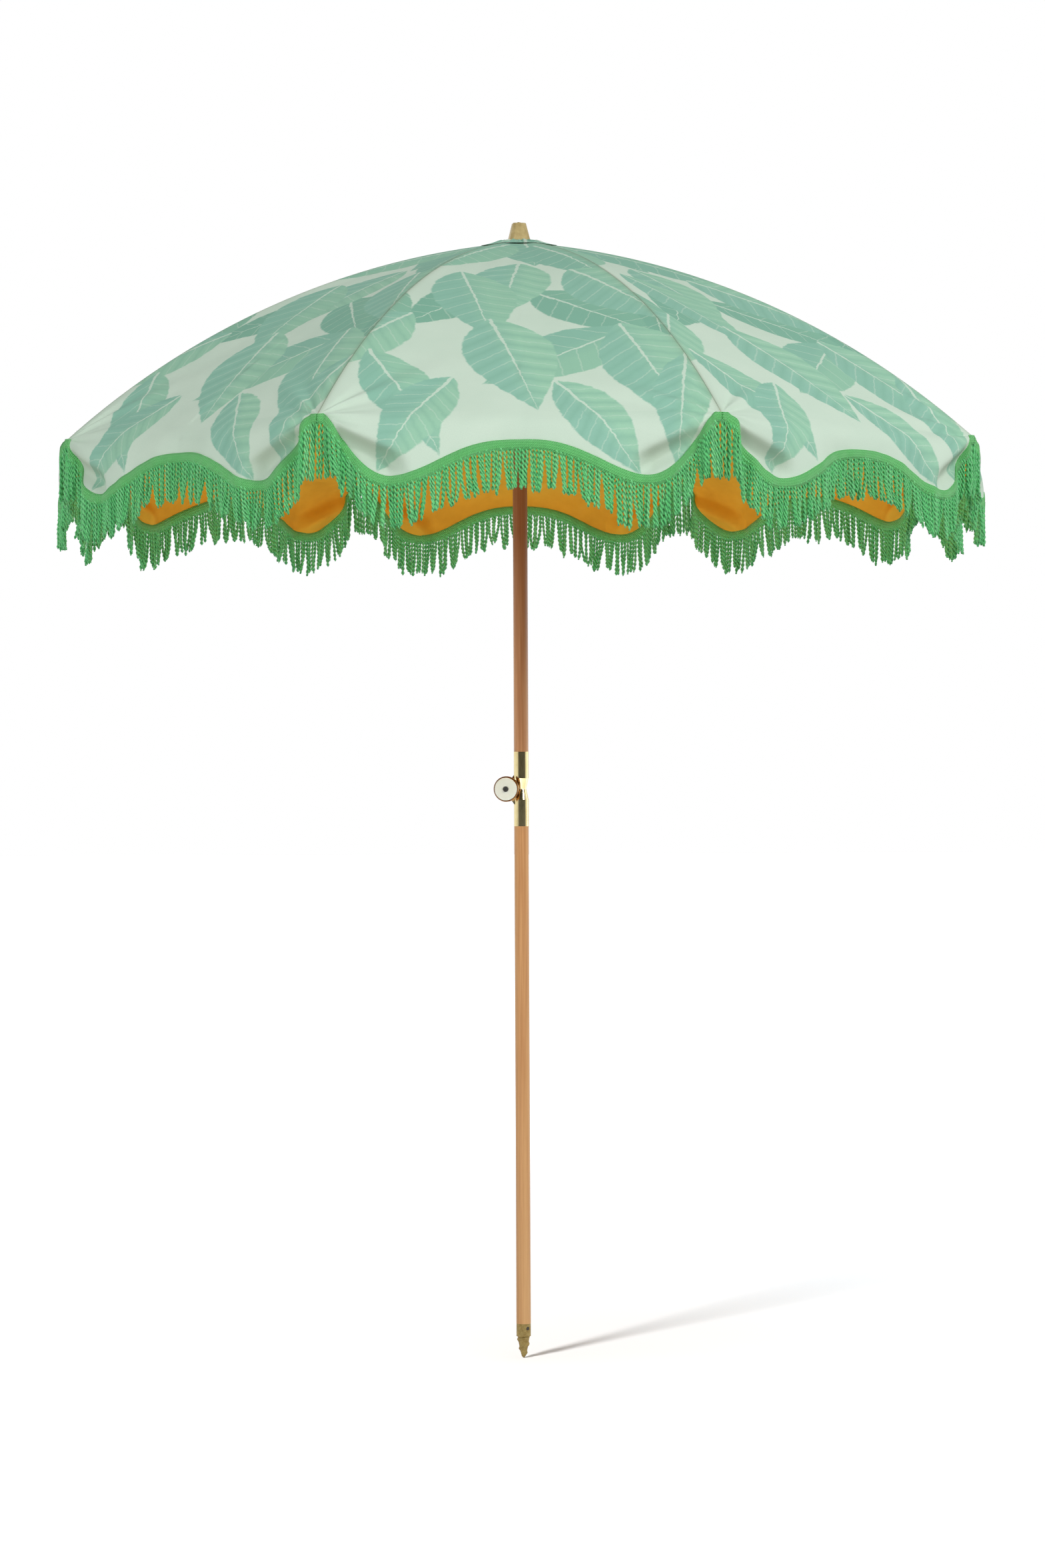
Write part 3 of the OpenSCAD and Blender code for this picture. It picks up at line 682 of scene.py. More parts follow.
def paint_material(name, colour, worn):
    """Satin paint on metal, worn thin in small patches."""
    material, n, shader = new_material(name)
    place = n.place()
    patch = n.noise(place, 140.0, 5.0, 0.65)
    peel = n.noise(place, 1500.0, 2.0, 0.5)
    n.settle(shader, {"Base Color": n.tint(patch, 0.58, 0.72, 0.8, colour, worn)})
    n.settle(shader, {"Roughness": n.range(patch, 0.3, 0.7, 0.4, 0.55)})
    n.settle(shader, {"Normal": n.bump(peel, 0.1, 0.0003)})
    return material


canopy_print = print_material()
canopy_lining = lining_material()
fringe_cord = rope_material()
fringe_braid = braid_material()
wood_lower = wood_material("wood_lower", srgb(230, 182, 126), srgb(218, 165, 110), srgb(198, 140, 88), 0.12)
upper_tones = srgb(220, 170, 120), srgb(208, 156, 108), srgb(184, 128, 84)
wood_upper = wood_material("wood_upper", *upper_tones, 0.45, canopy_shade_heights=(1.5, 1.82))
brass = metal_material("polished_brass", srgb(236, 220, 168), srgb(222, 202, 146), 0.08, 0.16, 40.0, 0.05)
brass_satin = metal_material("satin_brass", srgb(190, 172, 124), srgb(162, 142, 94), 0.38, 0.5, 60.0, 0.3)
steel = metal_material("plain_steel", srgb(190, 190, 188), srgb(150, 150, 150), 0.25, 0.4, 80.0, 0.1)
dark_steel = metal_material("dark_steel", srgb(92, 90, 86), srgb(60, 58, 56), 0.35, 0.5, 80.0, 0.2)
cast_brass = cast_material()
bronze = metal_material("bronze_rim", srgb(156, 112, 66), srgb(120, 78, 42), 0.2, 0.32, 90.0, 0.1)
knob_lacquer = face_material()
hub_paint = paint_material("hub_paint", srgb(222, 214, 196), srgb(168, 156, 134))
rib_paint = paint_material("rib_paint", srgb(226, 220, 204), srgb(176, 166, 146))


def dress(material, *names):
    """Gives CAD nodes a material."""
    for name in names:
        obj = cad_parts[name]
        if not obj.material_slots:
            obj.data.materials.append(material)
        for slot in obj.material_slots:
            slot.material = material


numbered = range(1, GORES + 1)
dress(wood_lower, "lower_pole")
dress(wood_upper, "upper_pole")
dress(brass, "lower_ferrule", "upper_ferrule", "lower_rivet", "upper_rivet", "runner_thumbscrew")
dress(brass_satin, "finial")
dress(cast_brass, "spike_socket")
dress(steel, "pivot_bolt", "knob_washer", "crown_pins", "runner_pins", "finial_stud")
dress(dark_steel, "spike_screw", "knob_screw")
dress(bronze, "tilt_knob")
dress(knob_lacquer, "knob_face")
dress(hub_paint, "crown", "runner")
dress(rib_paint, *[f"rib_{i}" for i in numbered], *[f"stretcher_{i}" for i in numbered])


# Canopy


def unit(value):
    return np.clip(value, 0, 1)


def ease(value):
    return (1 - np.cos(math.pi * value)) / 2


def smooth(value):
    v = unit(value)
    return v * v * (3 - 2 * v)


def hem_depth(across):
    """Depth of the hem below the edge: two lobes with a peak between them and an arch at each rib."""
    a = np.abs(across)
    inner = HEM_MID + (HEM_LOBE - HEM_MID) * ease(unit(a / LOBE_AT) ** LOBE_EASE)
    arch = unit(((1 - a) / (1 - LOBE_AT) - ARCH_FLAT) / (1 - ARCH_FLAT))
    outer = HEM_CORNER + (HEM_LOBE - HEM_CORNER) * ease(arch**ARCH_EASE)
    return np.where(a < LOBE_AT, inner, outer)


def drape_slope(length):
    """Steepness of the hanging cloth at a length below the edge."""
    return DRAPE_START + (DRAPE_END - DRAPE_START) * smooth(length / DRAPE_TURN)


def drape_table():
    """Outward and downward run of the hanging cloth against its length."""
    step = 0.001
    length = np.arange(0, 0.4, step)
    slope = drape_slope(length)
    out = np.concatenate([[0], np.cumsum(np.cos(slope[:-1]) * step)])
    down = np.concatenate([[0], np.cumsum(np.sin(slope[:-1]) * step)])
    return length, out, down


DRAPE_L, DRAPE_OUT, DRAPE_DOWN = drape_table()


def hem_length(across):
    """Length of hanging cloth that reaches the hem."""
    return np.interp(hem_depth(across), DRAPE_DOWN, DRAPE_L)


def creases(across, down, gore):
    """Height of the pulls that run from the rib tips, and of the slow waves of the cloth."""
    side = np.where(across > 0, 1.0, 0.0)
    width = GORE_TOP + GORE_WIDER * unit(down / EDGE_S)
    gap = (1 - np.abs(across)) * width
    rise = EDGE_S + PULL_ABOVE - down
    reach = np.hypot(gap, rise) + 1e-6
    angle = np.arctan2(rise, gap)
    swell = reach / PULL_REACH * np.exp(1 - reach / PULL_REACH)
    phase = 1.3 * gore + 2.1 * side
    pull = np.sin(9 * angle + phase) + 0.5 * np.sin(15 * angle + 2 * phase)
    near = smooth(gap / PULL_EDGE)
    slow = 0.6 * np.sin(9 * down + 2.2 * across + 0.7 * gore)
    slow = slow + 0.4 * np.sin(17 * across + 5 * down + 1.9 * gore)
    return near * (PULL_HIGH * swell * pull + WAVE_HIGH * slow * unit(down / WAVE_FROM))


def under_tuck(across, length):
    """Depth below the fold that runs from each arch to the foot of the lobe by it, and its span."""
    from_tip = (1 - np.abs(across)) * EDGE_HALF
    depth = np.interp(length, DRAPE_L, DRAPE_DOWN)
    line = TUCK_FROM[1] + TUCK_SLOPE * (from_tip - TUCK_FROM[0])
    below = TUCK_SOFT * np.logaddexp(0, (depth - line) / TUCK_SOFT)
    span = smooth((from_tip - TUCK_IN[0]) / TUCK_IN[1])
    span = span * (1 - smooth((from_tip - TUCK_OUT[0]) / TUCK_OUT[1]))
    return below, span


def tuck_in(across, length):
    """How far the cloth goes in under the fold, and partly out again towards the hem."""
    below, span = under_tuck(across, length)
    back = TUCK_BACK * smooth((below - TUCK_RETURN[0]) / TUCK_RETURN[1])
    return TUCK_DEPTH * (1 - np.exp(-below / TUCK_RUN)) * (1 - back) * span


def tuck_shade(across, length):
    """Painted shade under the fold: how much darker the cloth is painted there."""
    below, span = under_tuck(across, length)
    return TUCK_SHADE * (1 - np.exp(-below / TUCK_SOFT)) * np.exp(-below / TUCK_RUN) * span


def bulge(across, length, gore):
    """How far the hanging cloth stands out from its plane: full lobes, soft folds, edges that curl in."""
    a = np.abs(across)
    hem = hem_length(across)
    part = smooth(length / LOBE_FROM)
    full = LOBE_FULL * np.sin(math.pi * unit(a) ** 1.5) * part
    phase = 0.9 * gore
    folds = FOLD_HIGH[0] * np.sin(11 * across + phase) + FOLD_HIGH[1] * np.sin(19 * across + 2.3 * phase)
    to_hem = unit(length / np.maximum(hem, 1e-4))
    curl = -CURL_IN * unit((a - CURL_FROM) / (1 - CURL_FROM)) ** 2 * to_hem
    pucker = PUCKER_HIGH * np.sin(across * 62 + 2 * np.sin(7 * across + phase))
    edge = np.exp(-unit(hem - length) / PUCKER_RUN)
    return full + (folds * (1 - a**4) + curl + pucker * edge) * part - tuck_in(across, length)


def gore_points(across, down, over, gore):
    """Points of a gore in its own frame: x out from the pole, y along the edge, z up."""
    on_rib = unit(down / EDGE_S)
    angle = CLOTH_FROM + (CLOTH_TO - CLOTH_FROM) * on_rib
    radius = ARC_MID[0] + (ARC_R + over) * np.cos(angle)
    height = ARC_MID[1] + (ARC_R + over) * np.sin(angle)
    length = np.clip(down - EDGE_S, 0, None)
    out = np.interp(length, DRAPE_L, DRAPE_OUT)
    drop = np.interp(length, DRAPE_L, DRAPE_DOWN)
    slope = np.where(length > 0, drape_slope(length), math.pi / 2 - angle)
    crease = creases(across, down, gore) * np.exp(-length / PULL_FADE)
    stand = bulge(across, length, gore)
    thick = over - CLOTH_OUT
    extra = np.where(length > 0, thick * (np.sin(slope) - math.sin(DRAPE_START)), 0.0)
    x = radius * math.cos(HALF) + out + stand + crease * np.sin(slope) + extra
    y = across * (radius * math.sin(HALF) - SEAM_GAP)
    tuck = np.where(length > 0, thick * (np.cos(slope) - math.cos(DRAPE_START)), 0.0)
    sag = SAG * np.sin(math.pi * on_rib) * (1 - across**2)
    z = height - drop - sag + crease * np.cos(slope) + tuck
    return np.stack([x, y, z], axis=-1)


def seam_groove(across):
    """Depth of the stitched seam along a rib."""
    return SEAM_DEEP * np.exp(-(((1 - np.abs(across)) * EDGE_HALF / SEAM_WIDE) ** 2))


def outside(across, down, gore):
    return gore_points(across, down, CLOTH_OUT - seam_groove(across), gore)


def outside_normals(across, down, gore):
    """Normals of the outside, the same for a panel and its hanging edge where they meet."""
    step, slip = 0.0015, 0.002
    fall = outside(across, down + step, gore) - outside(across, down - step, gore)
    side = outside(across + slip, down, gore) - outside(across - slip, down, gore)
    normal = np.cross(fall, side)
    return normal / np.linalg.norm(normal, axis=-1, keepdims=True)


def columns(count):
    """Places across a gore, closer together at the seams."""
    even = np.linspace(-1, 1, count + 1)
    return 0.4 * even + 0.6 * np.sin(math.pi / 2 * even)


def cloth_coordinates(points, down, to_hem):
    return np.stack([points[..., 1], down, to_hem], axis=-1)


def gore_azimuth(i):
    return 2 * HALF * i


ACROSS = columns(GORE_COLUMNS)


def gore_sheet(name, outer, inner, cloth, normals, i):
    """A printed and lined sheet, turned from the gore's own frame to its place round the pole."""
    turned = [turn_z(points, gore_azimuth(i)) for points in (outer, inner, normals)]
    return sheet_object(name, turned[0], turned[1], cloth, [canopy_print, canopy_lining], turned[2])


def add_shade(sheet, shade):
    """Painted shade: how much darker the print is painted at each point, for the sheet's two sides."""
    add_vectors(sheet, "fold", np.tile(shade.reshape(-1, 1), (2, 3)))


def build_panel(i):
    rows = EDGE_S * (1 - (1 - np.linspace(0, 1, PANEL_ROWS)) ** 1.5)
    a, s = np.meshgrid(ACROSS, rows)
    outer = outside(a, s, i)
    inner = gore_points(a, s, CLOTH_IN, i)
    cloth = cloth_coordinates(outer, s, np.ones_like(s))
    panel = gore_sheet(f"panel_{i}", outer, inner, cloth, outside_normals(a, s, i), i)
    # Painted shade along the seams beside the ribs
    from_seam = (1 - np.abs(a)) * outer[..., 0] * math.tan(HALF)
    add_shade(panel, SEAM_SHADE * np.exp(-from_seam / SEAM_SOFT))
    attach(panel, f"gore_{i}")
    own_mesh(panel)
    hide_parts(f"canopy_panel_{i}")
    return panel


def build_valance(i):
    share = np.linspace(0, 1, EDGE_ROWS)
    a, part = np.meshgrid(ACROSS, share)
    length = part * hem_length(a)
    down = EDGE_S + length
    outer = outside(a, down, i)
    inner = gore_points(a, down, CLOTH_IN, i)
    cloth = cloth_coordinates(outer, down, hem_length(a) - length)
    valance = gore_sheet(f"hanging_edge_{i}", outer, inner, cloth, outside_normals(a, down, i), i)
    # Painted shade under the tucked fold
    add_shade(valance, tuck_shade(a, length))
    fringe = build_fringe(i)
    for piece in (valance, fringe):
        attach(piece, f"valance_{i}")
        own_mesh(piece)
    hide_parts(f"valance_{i}")
    return valance, fringe


def hem_line(i):
    """A fine line along the hem, a little past both seams, and the run along it."""
    across = np.linspace(-HEM_PAST, HEM_PAST, HEM_POINTS)
    points = gore_points(across, EDGE_S + hem_length(across), (CLOTH_OUT + CLOTH_IN) / 2, i)
    run = np.concatenate([[0], np.cumsum(np.linalg.norm(np.diff(points, axis=0), axis=1))])
    return run, points


def points_at(run, points, places):
    return np.stack([np.interp(places, run, points[:, k]) for k in range(3)], axis=-1)


def braid_arrays(i):
    """The woven header: a flat band along the hem, its faces and its cloth coordinates."""
    hem_run, hem_points = hem_line(i)
    run = np.linspace(0, hem_run[-1], BRAID_POINTS)
    at = points_at(hem_run, hem_points, run)
    half, top = 0.0024, -0.003
    front = [(half, top), (half + 0.0008, 0.003), (half + 0.0010, BRAID_H / 2), (half + 0.0006, BRAID_H)]
    section = front + [(-half, BRAID_H), (-half - 0.0004, BRAID_H / 2), (-half, top)]
    count = len(section)
    points = np.zeros((len(run), count, 3))
    cloth = np.zeros((len(run), count, 3))
    side = np.gradient(at, axis=0)
    side /= np.linalg.norm(side, axis=1)[:, None]
    lean = np.abs(side[:, 2])
    for k, (out, low) in enumerate(section):
        points[:, k, 0] = at[:, 0] + out
        points[:, k, 1] = at[:, 1]
        points[:, k, 2] = at[:, 2] - low * (1 + 0.5 * lean)
        cloth[:, k] = np.stack([run, np.full_like(run, low), np.full_like(run, out)], axis=-1)
    return points.reshape(-1, 3), cloth.reshape(-1, 3), tube_faces(len(run), count)


def rope_arrays(i, rng):
    """Twisted two-ply cords under the braid, leaning together in small bunches towards their ends."""
    hem_run, hem_points = hem_line(i)
    count = int(hem_run[-1] / ROPE_PITCH)
    run = np.arange(count) * hem_run[-1] / count
    at = points_at(hem_run, hem_points, run)
    bunch = np.zeros(count, dtype=int)
    k, number = 0, 0
    while k < count:
        take = int(rng.integers(*BUNCH_COUNT))
        bunch[k : k + take] = number
        k += take
        number += 1
    middle = np.array([at[bunch == b, 1].mean() for b in range(number)])
    lean = rng.normal(0, BUNCH_LEAN, number)
    fall = rng.normal(0, BUNCH_FALL, number)
    pull = rng.uniform(*BUNCH_PULL, number)
    from_seam = np.minimum(run, hem_run[-1] - run)
    pull_each = np.where(from_seam < ARCH_NEAR, ARCH_PULL, pull[bunch])
    drift = (middle[bunch] - at[:, 1]) * pull_each + lean[bunch] + rng.normal(0, ROPE_STRAY, count)
    swell = np.where(np.arange(count) % 2 == 0, 1, -1) * np.abs(rng.normal(0, BUNCH_SPREAD, number))[bunch]
    radial = fall[bunch] + rng.normal(0, ROPE_FALL, count)
    spare = rng.normal(0, ROPE_UNEVEN, count) + rng.normal(0, BUNCH_UNEVEN, number)[bunch]
    rope = FRINGE_LEN - BRAID_H + ROPE_MORE + spare + ARCH_DROP * smooth(1 - from_seam / ARCH_REACH)
    rings, sides = ROPE_RINGS, ROPE_SIDES
    share = np.linspace(0, 1, rings)
    curve = share**1.7
    path = np.zeros((count, rings, 3))
    wobble = rng.uniform(0, 2 * math.pi, count)
    sway = ROPE_SWAY * np.sin(share[None, :] * 7 + wobble[:, None]) * share[None, :]
    path[..., 0] = at[:, None, 0] + radial[:, None] * curve + sway
    path[..., 1] = at[:, None, 1] + drift[:, None] * curve + sway
    path[..., 1] += swell[:, None] * np.sin(math.pi * share)
    path[..., 2] = at[:, None, 2] - (BRAID_H - ROPE_UNDER) - rope[:, None] * share
    theta = np.linspace(0, 2 * math.pi, sides, endpoint=False)
    lobe = ROPE_R * (0.68 + 0.32 * np.cos(2 * theta))
    taper = np.ones(rings)
    taper[-2:] = 0.95, 0.45
    thick = rng.uniform(0.9, 1.1, count)
    twist = 2 * math.pi * share * ROPE_TURNS
    turn = theta[None, None, :] + twist[None, :, None] + wobble[:, None, None]
    size = lobe[None, None, :] * taper[None, :, None] * thick[:, None, None]
    points = np.repeat(path[:, :, None, :], sides, axis=2)
    points[..., 0] += size * np.cos(turn)
    points[..., 1] += size * np.sin(turn)
    # Where each point lies on its cord, for the cord material's painted shade between plies and beside
    # neighbours
    ply = np.zeros_like(points)
    ply[..., 0] = np.broadcast_to((np.cos(2 * theta) + 1) / 2, size.shape)
    ply[..., 1] = np.abs(np.cos(turn))
    faces = []
    for first in range(0, count * rings * sides, rings * sides):
        faces.extend(tube_faces(rings, sides, first, flip=True))
    return points.reshape(-1, 3), ply.reshape(-1, 3), faces


def build_fringe(i):
    """Braid and cords along one hem."""
    rng = np.random.default_rng(40 + i)
    band, band_cloth, band_faces = braid_arrays(i)
    ropes, ply, rope_faces = rope_arrays(i, rng)
    verts = np.concatenate([band, ropes])
    faces = band_faces + [tuple(v + len(band) for v in face) for face in rope_faces]
    slots = [0] * len(band_faces) + [1] * len(rope_faces)
    verts = turn_z(verts, gore_azimuth(i))
    obj = make_object(f"fringe_{i}", verts, faces, [fringe_braid, fringe_cord], slots)
    add_vectors(obj, "cloth", np.concatenate([band_cloth, ropes]))
    add_vectors(obj, "ply", np.concatenate([np.ones_like(band_cloth), ply]))
    return obj


def build_sleeve(i):
    """Cloth sleeve along a rib, under the two gores that meet there."""
    rows = np.linspace(SLEEVE_ENDS[0], EDGE_S - SLEEVE_ENDS[1], PANEL_ROWS)
    share = rows / EDGE_S
    wide = np.interp(share, SLEEVE_AT, SLEEVE_HALF)
    room = (ARC_MID[0] + ARC_R * np.cos(CLOTH_FROM + (CLOTH_TO - CLOTH_FROM) * share)) * math.sin(HALF)
    steps = np.linspace(-1, 1, SLEEVE_COLUMNS)
    grids = []
    for over in (SLEEVE_OUT, SLEEVE_IN):
        grid = np.zeros((len(rows), len(steps), 3))
        for c, step in enumerate(steps):
            gore = i - 1 if step <= 0 else i
            gore = GORES if gore == 0 else gore
            inset = np.abs(step) * np.minimum(wide / room, SLEEVE_ROOM)
            across = (1 - inset) if step <= 0 else -(1 - inset)
            flat = gore_points(across, rows, over, gore)
            grid[:, c] = turn_z(flat, gore_azimuth(gore))
        middle = len(steps) // 2
        grid[:, middle] = turn_z(gore_points(np.full_like(rows, -1.0), rows, over, i), gore_azimuth(i))
        grids.append(grid)
    step, down = np.meshgrid(steps, rows)
    cloth = np.stack([step * SLEEVE_PRINT, down, np.ones_like(down)], axis=-1)
    obj = sheet_object(f"rib_sleeve_{i}", grids[0], grids[1], cloth, [canopy_print, canopy_lining])
    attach(obj, f"rib_{i}")


def cap_height(radius, azimuth, over):
    """Height of the canopy's outside at a radius and an azimuth near the crown."""
    gore = np.round(azimuth / (2 * HALF))
    along = radius * np.cos(azimuth - gore * 2 * HALF) / math.cos(HALF)
    return ARC_MID[1] + np.sqrt((ARC_R + over) ** 2 - (along - ARC_MID[0]) ** 2)


def cap_points(radius, azimuth):
    """Outside of the gathered cloth over the crown, drawn up under the finial."""
    base = cap_height(radius, azimuth, CLOTH_OUT + CAP_OVER)
    slope = Z_FINIAL - CROWN_BEVEL * unit((radius - CROWN_FLAT) / (CROWN_R - CROWN_FLAT))
    drawn = slope + (base - slope) * smooth((radius - CROWN_FLAT) / CAP_DRAWN)
    pleats = 0.0016 * np.sin(23 * azimuth) + 0.0012 * np.sin(14 * azimuth + 1.0)
    pleats = pleats + 0.001 * np.sin(37 * azimuth + 2.0)
    show = unit((radius - CROWN_FLAT) / PLEAT_ENDS[0])
    show = show * unit((CAP_R - PLEAT_FLAT - radius) / PLEAT_ENDS[1])
    lift = np.maximum(drawn, base) + (pleats + PLEAT_LIFT) * show
    return np.stack([radius * np.cos(azimuth), radius * np.sin(azimuth), lift], axis=-1)


def cap_sheet(name, radii, azimuths):
    """A piece of the cap, printed in step with the gores under it."""
    phi, rad = np.meshgrid(azimuths, radii)
    outer = cap_points(rad, phi)
    inner = outer - np.array([0, 0, CAP_THICK])
    fall = cap_points(rad + 0.001, phi) - cap_points(rad - 0.001, phi)
    side = cap_points(rad, phi + 0.01) - cap_points(rad, phi - 0.01)
    normals = np.cross(fall, side)
    normals /= np.linalg.norm(normals, axis=-1, keepdims=True)
    aside = phi - np.round(phi / (2 * HALF)) * 2 * HALF
    cloth = np.stack([rad * np.sin(aside), rad * np.cos(aside), np.ones_like(rad)], axis=-1)
    piece = sheet_object(name, outer, inner, cloth, [canopy_print, canopy_lining], normals)
    return piece


def build_cap():
    """The middle of the cap, which stays on the crown."""
    cap = cap_sheet("crown_cloth", np.linspace(CAP_HOLE, CAP_SPLIT, 12), np.linspace(0, 2 * math.pi, 193))
    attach(cap, "upper_pole")
    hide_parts("canopy_cap")


def build_cap_edge(i):
    """The edge of the cap over a gore, sewn to it, so that it folds down with it."""
    azimuth = gore_azimuth(i)
    span = azimuth + np.linspace(-HALF, HALF, 25)
    edge = cap_sheet(f"crown_edge_{i}", np.linspace(CAP_SPLIT, CAP_R, 17), span)
    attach(edge, f"gore_{i}")
    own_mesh(edge)


canopy_pieces = []
for number in numbered:
    canopy_pieces.append(build_panel(number))
    canopy_pieces.extend(build_valance(number))
    build_sleeve(number)
    build_cap_edge(number)
build_cap()


# Spike and knob


def build_spike():
    """Cast cone with a coarse thread."""
    rings, sides = 130, 72
    z = np.linspace(0, SPIKE_H, rings)
    turn = np.linspace(0, 2 * math.pi, sides, endpoint=False)
    t, h = np.meshgrid(turn, z)
    core = SPIKE_TIP + (SPIKE_TOP - SPIKE_TIP) * (h / SPIKE_H) ** 0.6
    along = (h / THREAD_PITCH - t / (2 * math.pi)) % 1.0
    ridge = np.exp(-(((along - 0.5) / THREAD_WIDE) ** 2))
    start = unit(h / THREAD_ENDS[0]) * unit((SPIKE_H - h) / THREAD_ENDS[1])
    rad = core + THREAD_HIGH * ridge * start
    blunt = np.sqrt(unit(h / SPIKE_BLUNT))
    rad = rad * (0.25 + 0.75 * blunt)
    points = np.stack([rad * np.cos(t), rad * np.sin(t), h], axis=-1)
    obj = make_object("spike_cast", points.reshape(-1, 3), tube_faces(rings, sides), [cast_brass])
    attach(obj, "lower_pole")
    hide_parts("ground_spike")


build_spike()


def on_hinge(name, profile, material):
    """A turned piece that points out along the hinge pin, in front of the fork."""
    obj = lathe(name, profile, KNOB_SIDES, material)
    points = np.array([v.co for v in obj.data.vertices])
    points = np.stack([points[:, 0] - PIVOT_OFF, -points[:, 2] - KNOB_Y, points[:, 1] + Z_PIVOT], axis=1)
    obj.data.vertices.foreach_set("co", turn_z(points, -HINGE_TURN).astype(np.float32).ravel())
    obj.data.update()
    mark_sharp(obj, KNOB_CRISP)
    return obj


def build_knob():
    """Rim and face of the clamping knob, as (radius, height) from its back."""
    rim = [
        (0.004, 0.0),
        (KNOB_R - 0.006, 0.0),
        (KNOB_R - 0.004, 0.0006),
        (KNOB_R - 0.0008, 0.0042),
        (KNOB_R, 0.0056),
        (KNOB_R, KNOB_H - 0.0030),
        (KNOB_R - 0.0006, KNOB_H - 0.0012),
        (KNOB_R - 0.0018, KNOB_H),
        (FACE_R + 0.0001, KNOB_H),
        (FACE_R + 0.0001, KNOB_H - 0.004),
        (0.004, KNOB_H - 0.004),
    ]
    knob = on_hinge("knob_rim", rim, bronze)
    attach(knob, "tilt_knob")
    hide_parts("tilt_knob")
    face = [
        (0.0027, KNOB_H - 0.0039),
        (FACE_R, KNOB_H - 0.0039),
        (FACE_R, KNOB_H + 0.0002),
        (FACE_R - 0.0008, KNOB_H + 0.0009),
        (FACE_R - 0.003, KNOB_H + 0.0012),
        (0.012, KNOB_H + 0.0014),
        (0.0064, KNOB_H + 0.0012),
        (0.0062, KNOB_H + 0.0010),
        (0.0027, KNOB_H + 0.0010),
    ]
    plate = on_hinge("knob_plate", face, knob_lacquer)
    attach(plate, "tilt_knob")
    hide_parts("knob_face")


build_knob()


# Stage, light and camera

FLOOR_FAR = 4.2
FLOOR_GLOW = 0.06
GLOW_TINT = (0.84, 0.93, 1.0, 1.0)
FLOOR_HALF = 40.0
FLOOR_Z = -0.0005
PAPER = srgb(228, 228, 228), srgb(232, 232, 232)
PAPER_DIM = srgb(142, 142, 142)
WORLD_LIGHT = 0.45
WORLD_DARK = 0.94
LENS = 84.35
CAMERA_AT = (0.003, -8.09, 1.334)
CAMERA_TURN = (math.radians(89.51), math.radians(0.25), 0.0)


def build_floor():
    """White paper as it is seen, dimmer in the light it throws back; what shines sees it dark in front."""
    material, n, shader = new_material("floor_paper")
    place = n.place()
    part = n.parts(place)
    rays = n.add("ShaderNodeLightPath")
    shine = n.times(rays.outputs["Is Glossy Ray"], n.range(part[1], -6.0, -2.5, 0.1, 1.0))
    seen = n.most(rays.outputs["Is Camera Ray"], rays.outputs["Is Transmission Ray"])
    seen = n.most(seen, shine)
    fibre = n.noise(place, 3.0, 3.0)
    paper = n.mix(fibre, *PAPER)
    colour = n.mix(seen, PAPER_DIM, paper)
    n.settle(shader, {"Base Color": colour, "Roughness": 0.9, "Specular IOR Level": 0.1})
    away = n.add("ShaderNodeVectorMath", operation="LENGTH")
    n.join(place, away.inputs[0])
    far = n.range(away.outputs["Value"], 0.0, FLOOR_FAR, FLOOR_GLOW, 1.0)
    glow = n.add("ShaderNodeEmission")
    n.settle(glow, {"Color": GLOW_TINT, "Strength": n.times(seen, far)})
    mix = n.add("ShaderNodeAddShader")
    n.join(shader.outputs[0], mix.inputs[0])
    n.join(glow.outputs[0], mix.inputs[1])
    out = material.node_tree.nodes["Material Output"]
    n.join(mix.outputs[0], out.inputs["Surface"])
    verts = [(x * FLOOR_HALF, y * FLOOR_HALF, FLOOR_Z) for x, y in ((-1, -1), (1, -1), (1, 1), (-1, 1))]
    floor = make_object("studio_floor", verts, [(0, 1, 2, 3)], [material], smooth=False)
    return floor


def build_world():
    """White surroundings; what shines sees a dark room in front, where the camera stands."""
    world = bpy.data.worlds.new("studio")
    bpy.context.scene.world = world
    world.use_nodes = True
    n = Nodes(world.node_tree)
    back = world.node_tree.nodes["Background"]
    part = n.parts(n.add("ShaderNodeTexCoord").outputs["Generated"])
    turn = n.math("ARCTAN2", part[0], n.times(part[1], -1.0))
    dark = n.times(n.range(turn, -0.95, -0.72, 0.0, 1.0), n.range(turn, 1.02, 1.3, 1.0, 0.0))
    dark = n.times(dark, n.range(part[2], -0.3, -0.12, 0.0, 1.0))
    dark = n.times(dark, n.range(part[2], 0.55, 0.8, 1.0, 0.0))
    rays = n.add("ShaderNodeLightPath")
    shine = rays.outputs["Is Glossy Ray"]
    seen = n.most(rays.outputs["Is Camera Ray"], rays.outputs["Is Transmission Ray"])
    level = n.range(n.most(seen, shine), 0.0, 1.0, WORLD_LIGHT, 1.0)
    room = n.times(n.times(dark, shine), -WORLD_DARK)
    n.settle(back, {"Color": (1, 1, 1, 1), "Strength": n.math("ADD", level, room)})


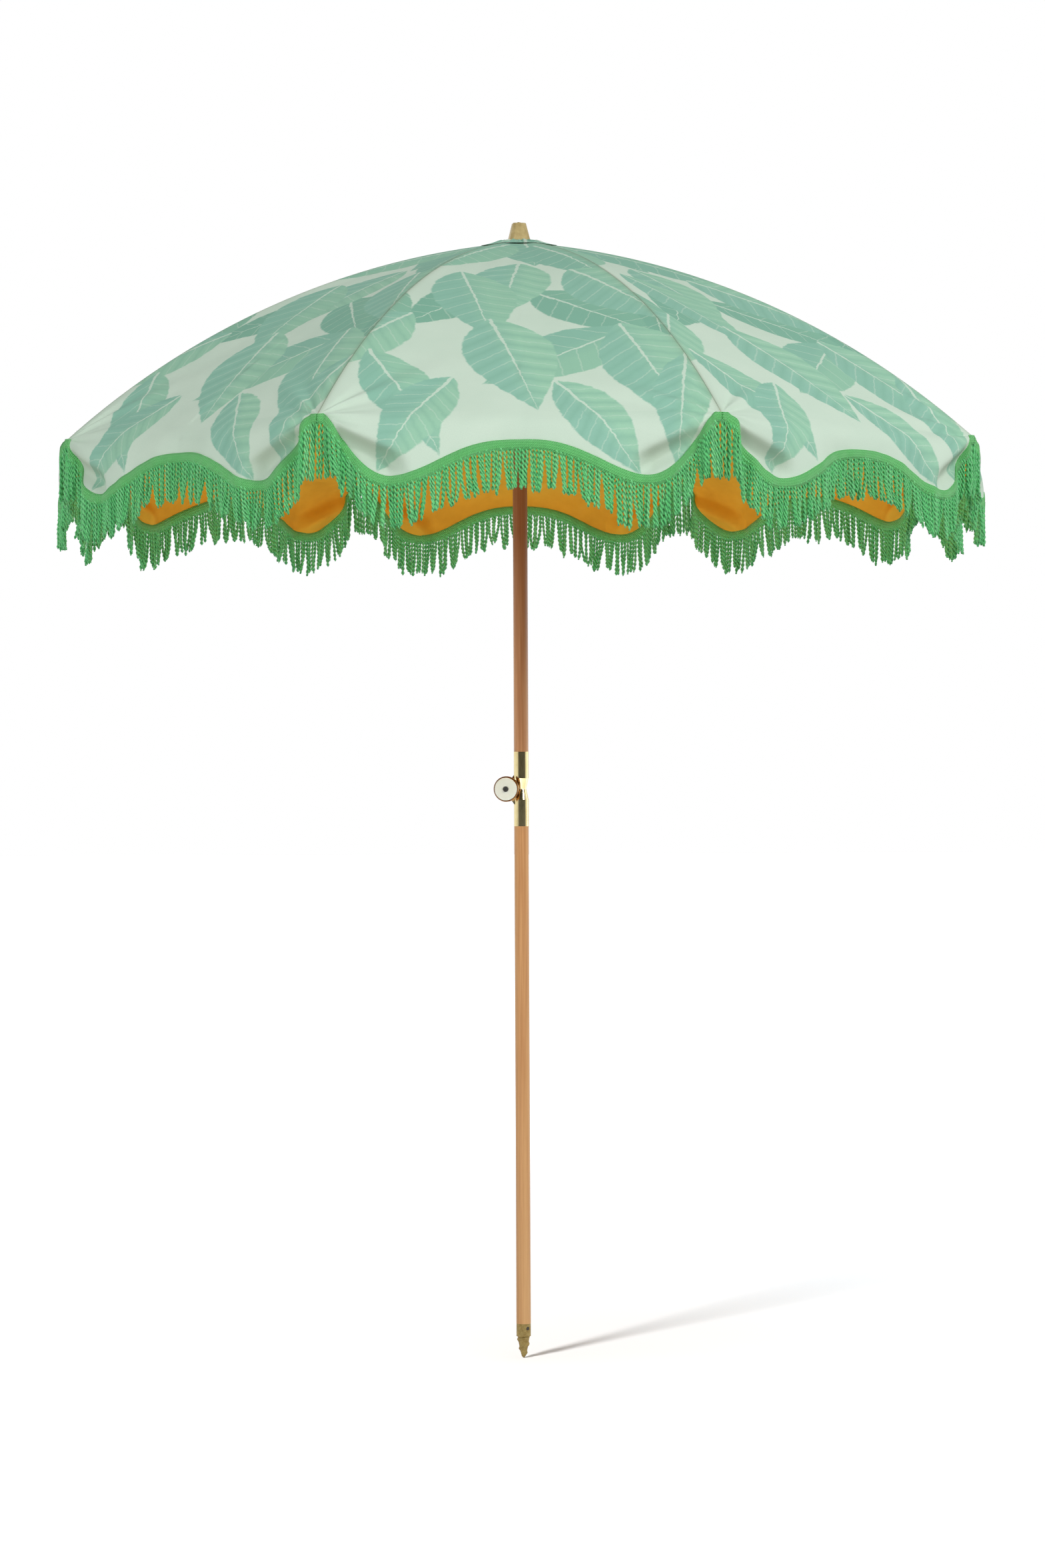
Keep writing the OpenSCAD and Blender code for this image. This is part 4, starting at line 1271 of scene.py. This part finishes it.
def area_light(name, place, target, size, power, tall=None):
    """A round lamp, or an upright one of some height."""
    data = bpy.data.lights.new(name, "AREA")
    data.shape = "DISK" if tall is None else "RECTANGLE"
    data.size = size
    if tall is not None:
        data.size_y = tall
    data.energy = power
    lamp = bpy.data.objects.new(name, data)
    bpy.context.scene.collection.objects.link(lamp)
    lamp.location = place
    way = np.array(target, dtype=float) - np.array(place, dtype=float)
    flat = math.hypot(way[0], way[1])
    lamp.rotation_euler = (math.atan2(flat, -way[2]), 0.0, math.atan2(way[1], way[0]) - math.pi / 2)
    return lamp


def light_only(lamp, *receivers):
    """Lets a lamp light only the objects named."""
    group = bpy.data.collections.new(f"{lamp.name}_linking")
    for obj in receivers:
        group.objects.link(obj)
    lamp.light_linking.receiver_collection = group
    return group


def light_past(lamp, obj):
    """Lets a lamp light everything but one object."""
    group = light_only(lamp, obj)
    group.collection_objects[0].light_linking.link_state = "EXCLUDE"


def build_camera():
    data = bpy.data.cameras.new("camera")
    data.lens = LENS
    data.sensor_width = 36.0
    camera = bpy.data.objects.new("camera", data)
    bpy.context.scene.collection.objects.link(camera)
    camera.location = CAMERA_AT
    camera.rotation_euler = CAMERA_TURN
    bpy.context.scene.camera = camera


studio_floor = build_floor()
build_world()
key = area_light("key", (4.4, -5.0, 4.6), (0, 0, 1.6), 2.0, 230.0)
fill = area_light("fill", (-4.5, -5.0, 2.2), (0, 0, 1.7), 3.5, 95.0)
fill.visible_glossy = False
strip = area_light("strip", (3.0, 1.0, 1.4), (0, 0, 1.4), 0.5, 10.0, tall=2.4)
for lamp in (key, fill, strip):
    lamp.visible_camera = False
    light_past(lamp, studio_floor)
inner_light = area_light("inner_light", (0, -0.1, 1.25), (0, -0.1, 2.25), 1.0, 6.0)
inner_light.visible_camera = False
inner_light.visible_glossy = False
light_only(inner_light, *canopy_pieces)
floor_lamp = area_light("floor_lamp", (-3.61, -5.17, 2.9), (0, 0, 0), 1.2, 920.0)
floor_lamp.visible_glossy = False
light_only(floor_lamp, studio_floor)
build_camera()
bpy.context.scene.view_settings.view_transform = "Standard"
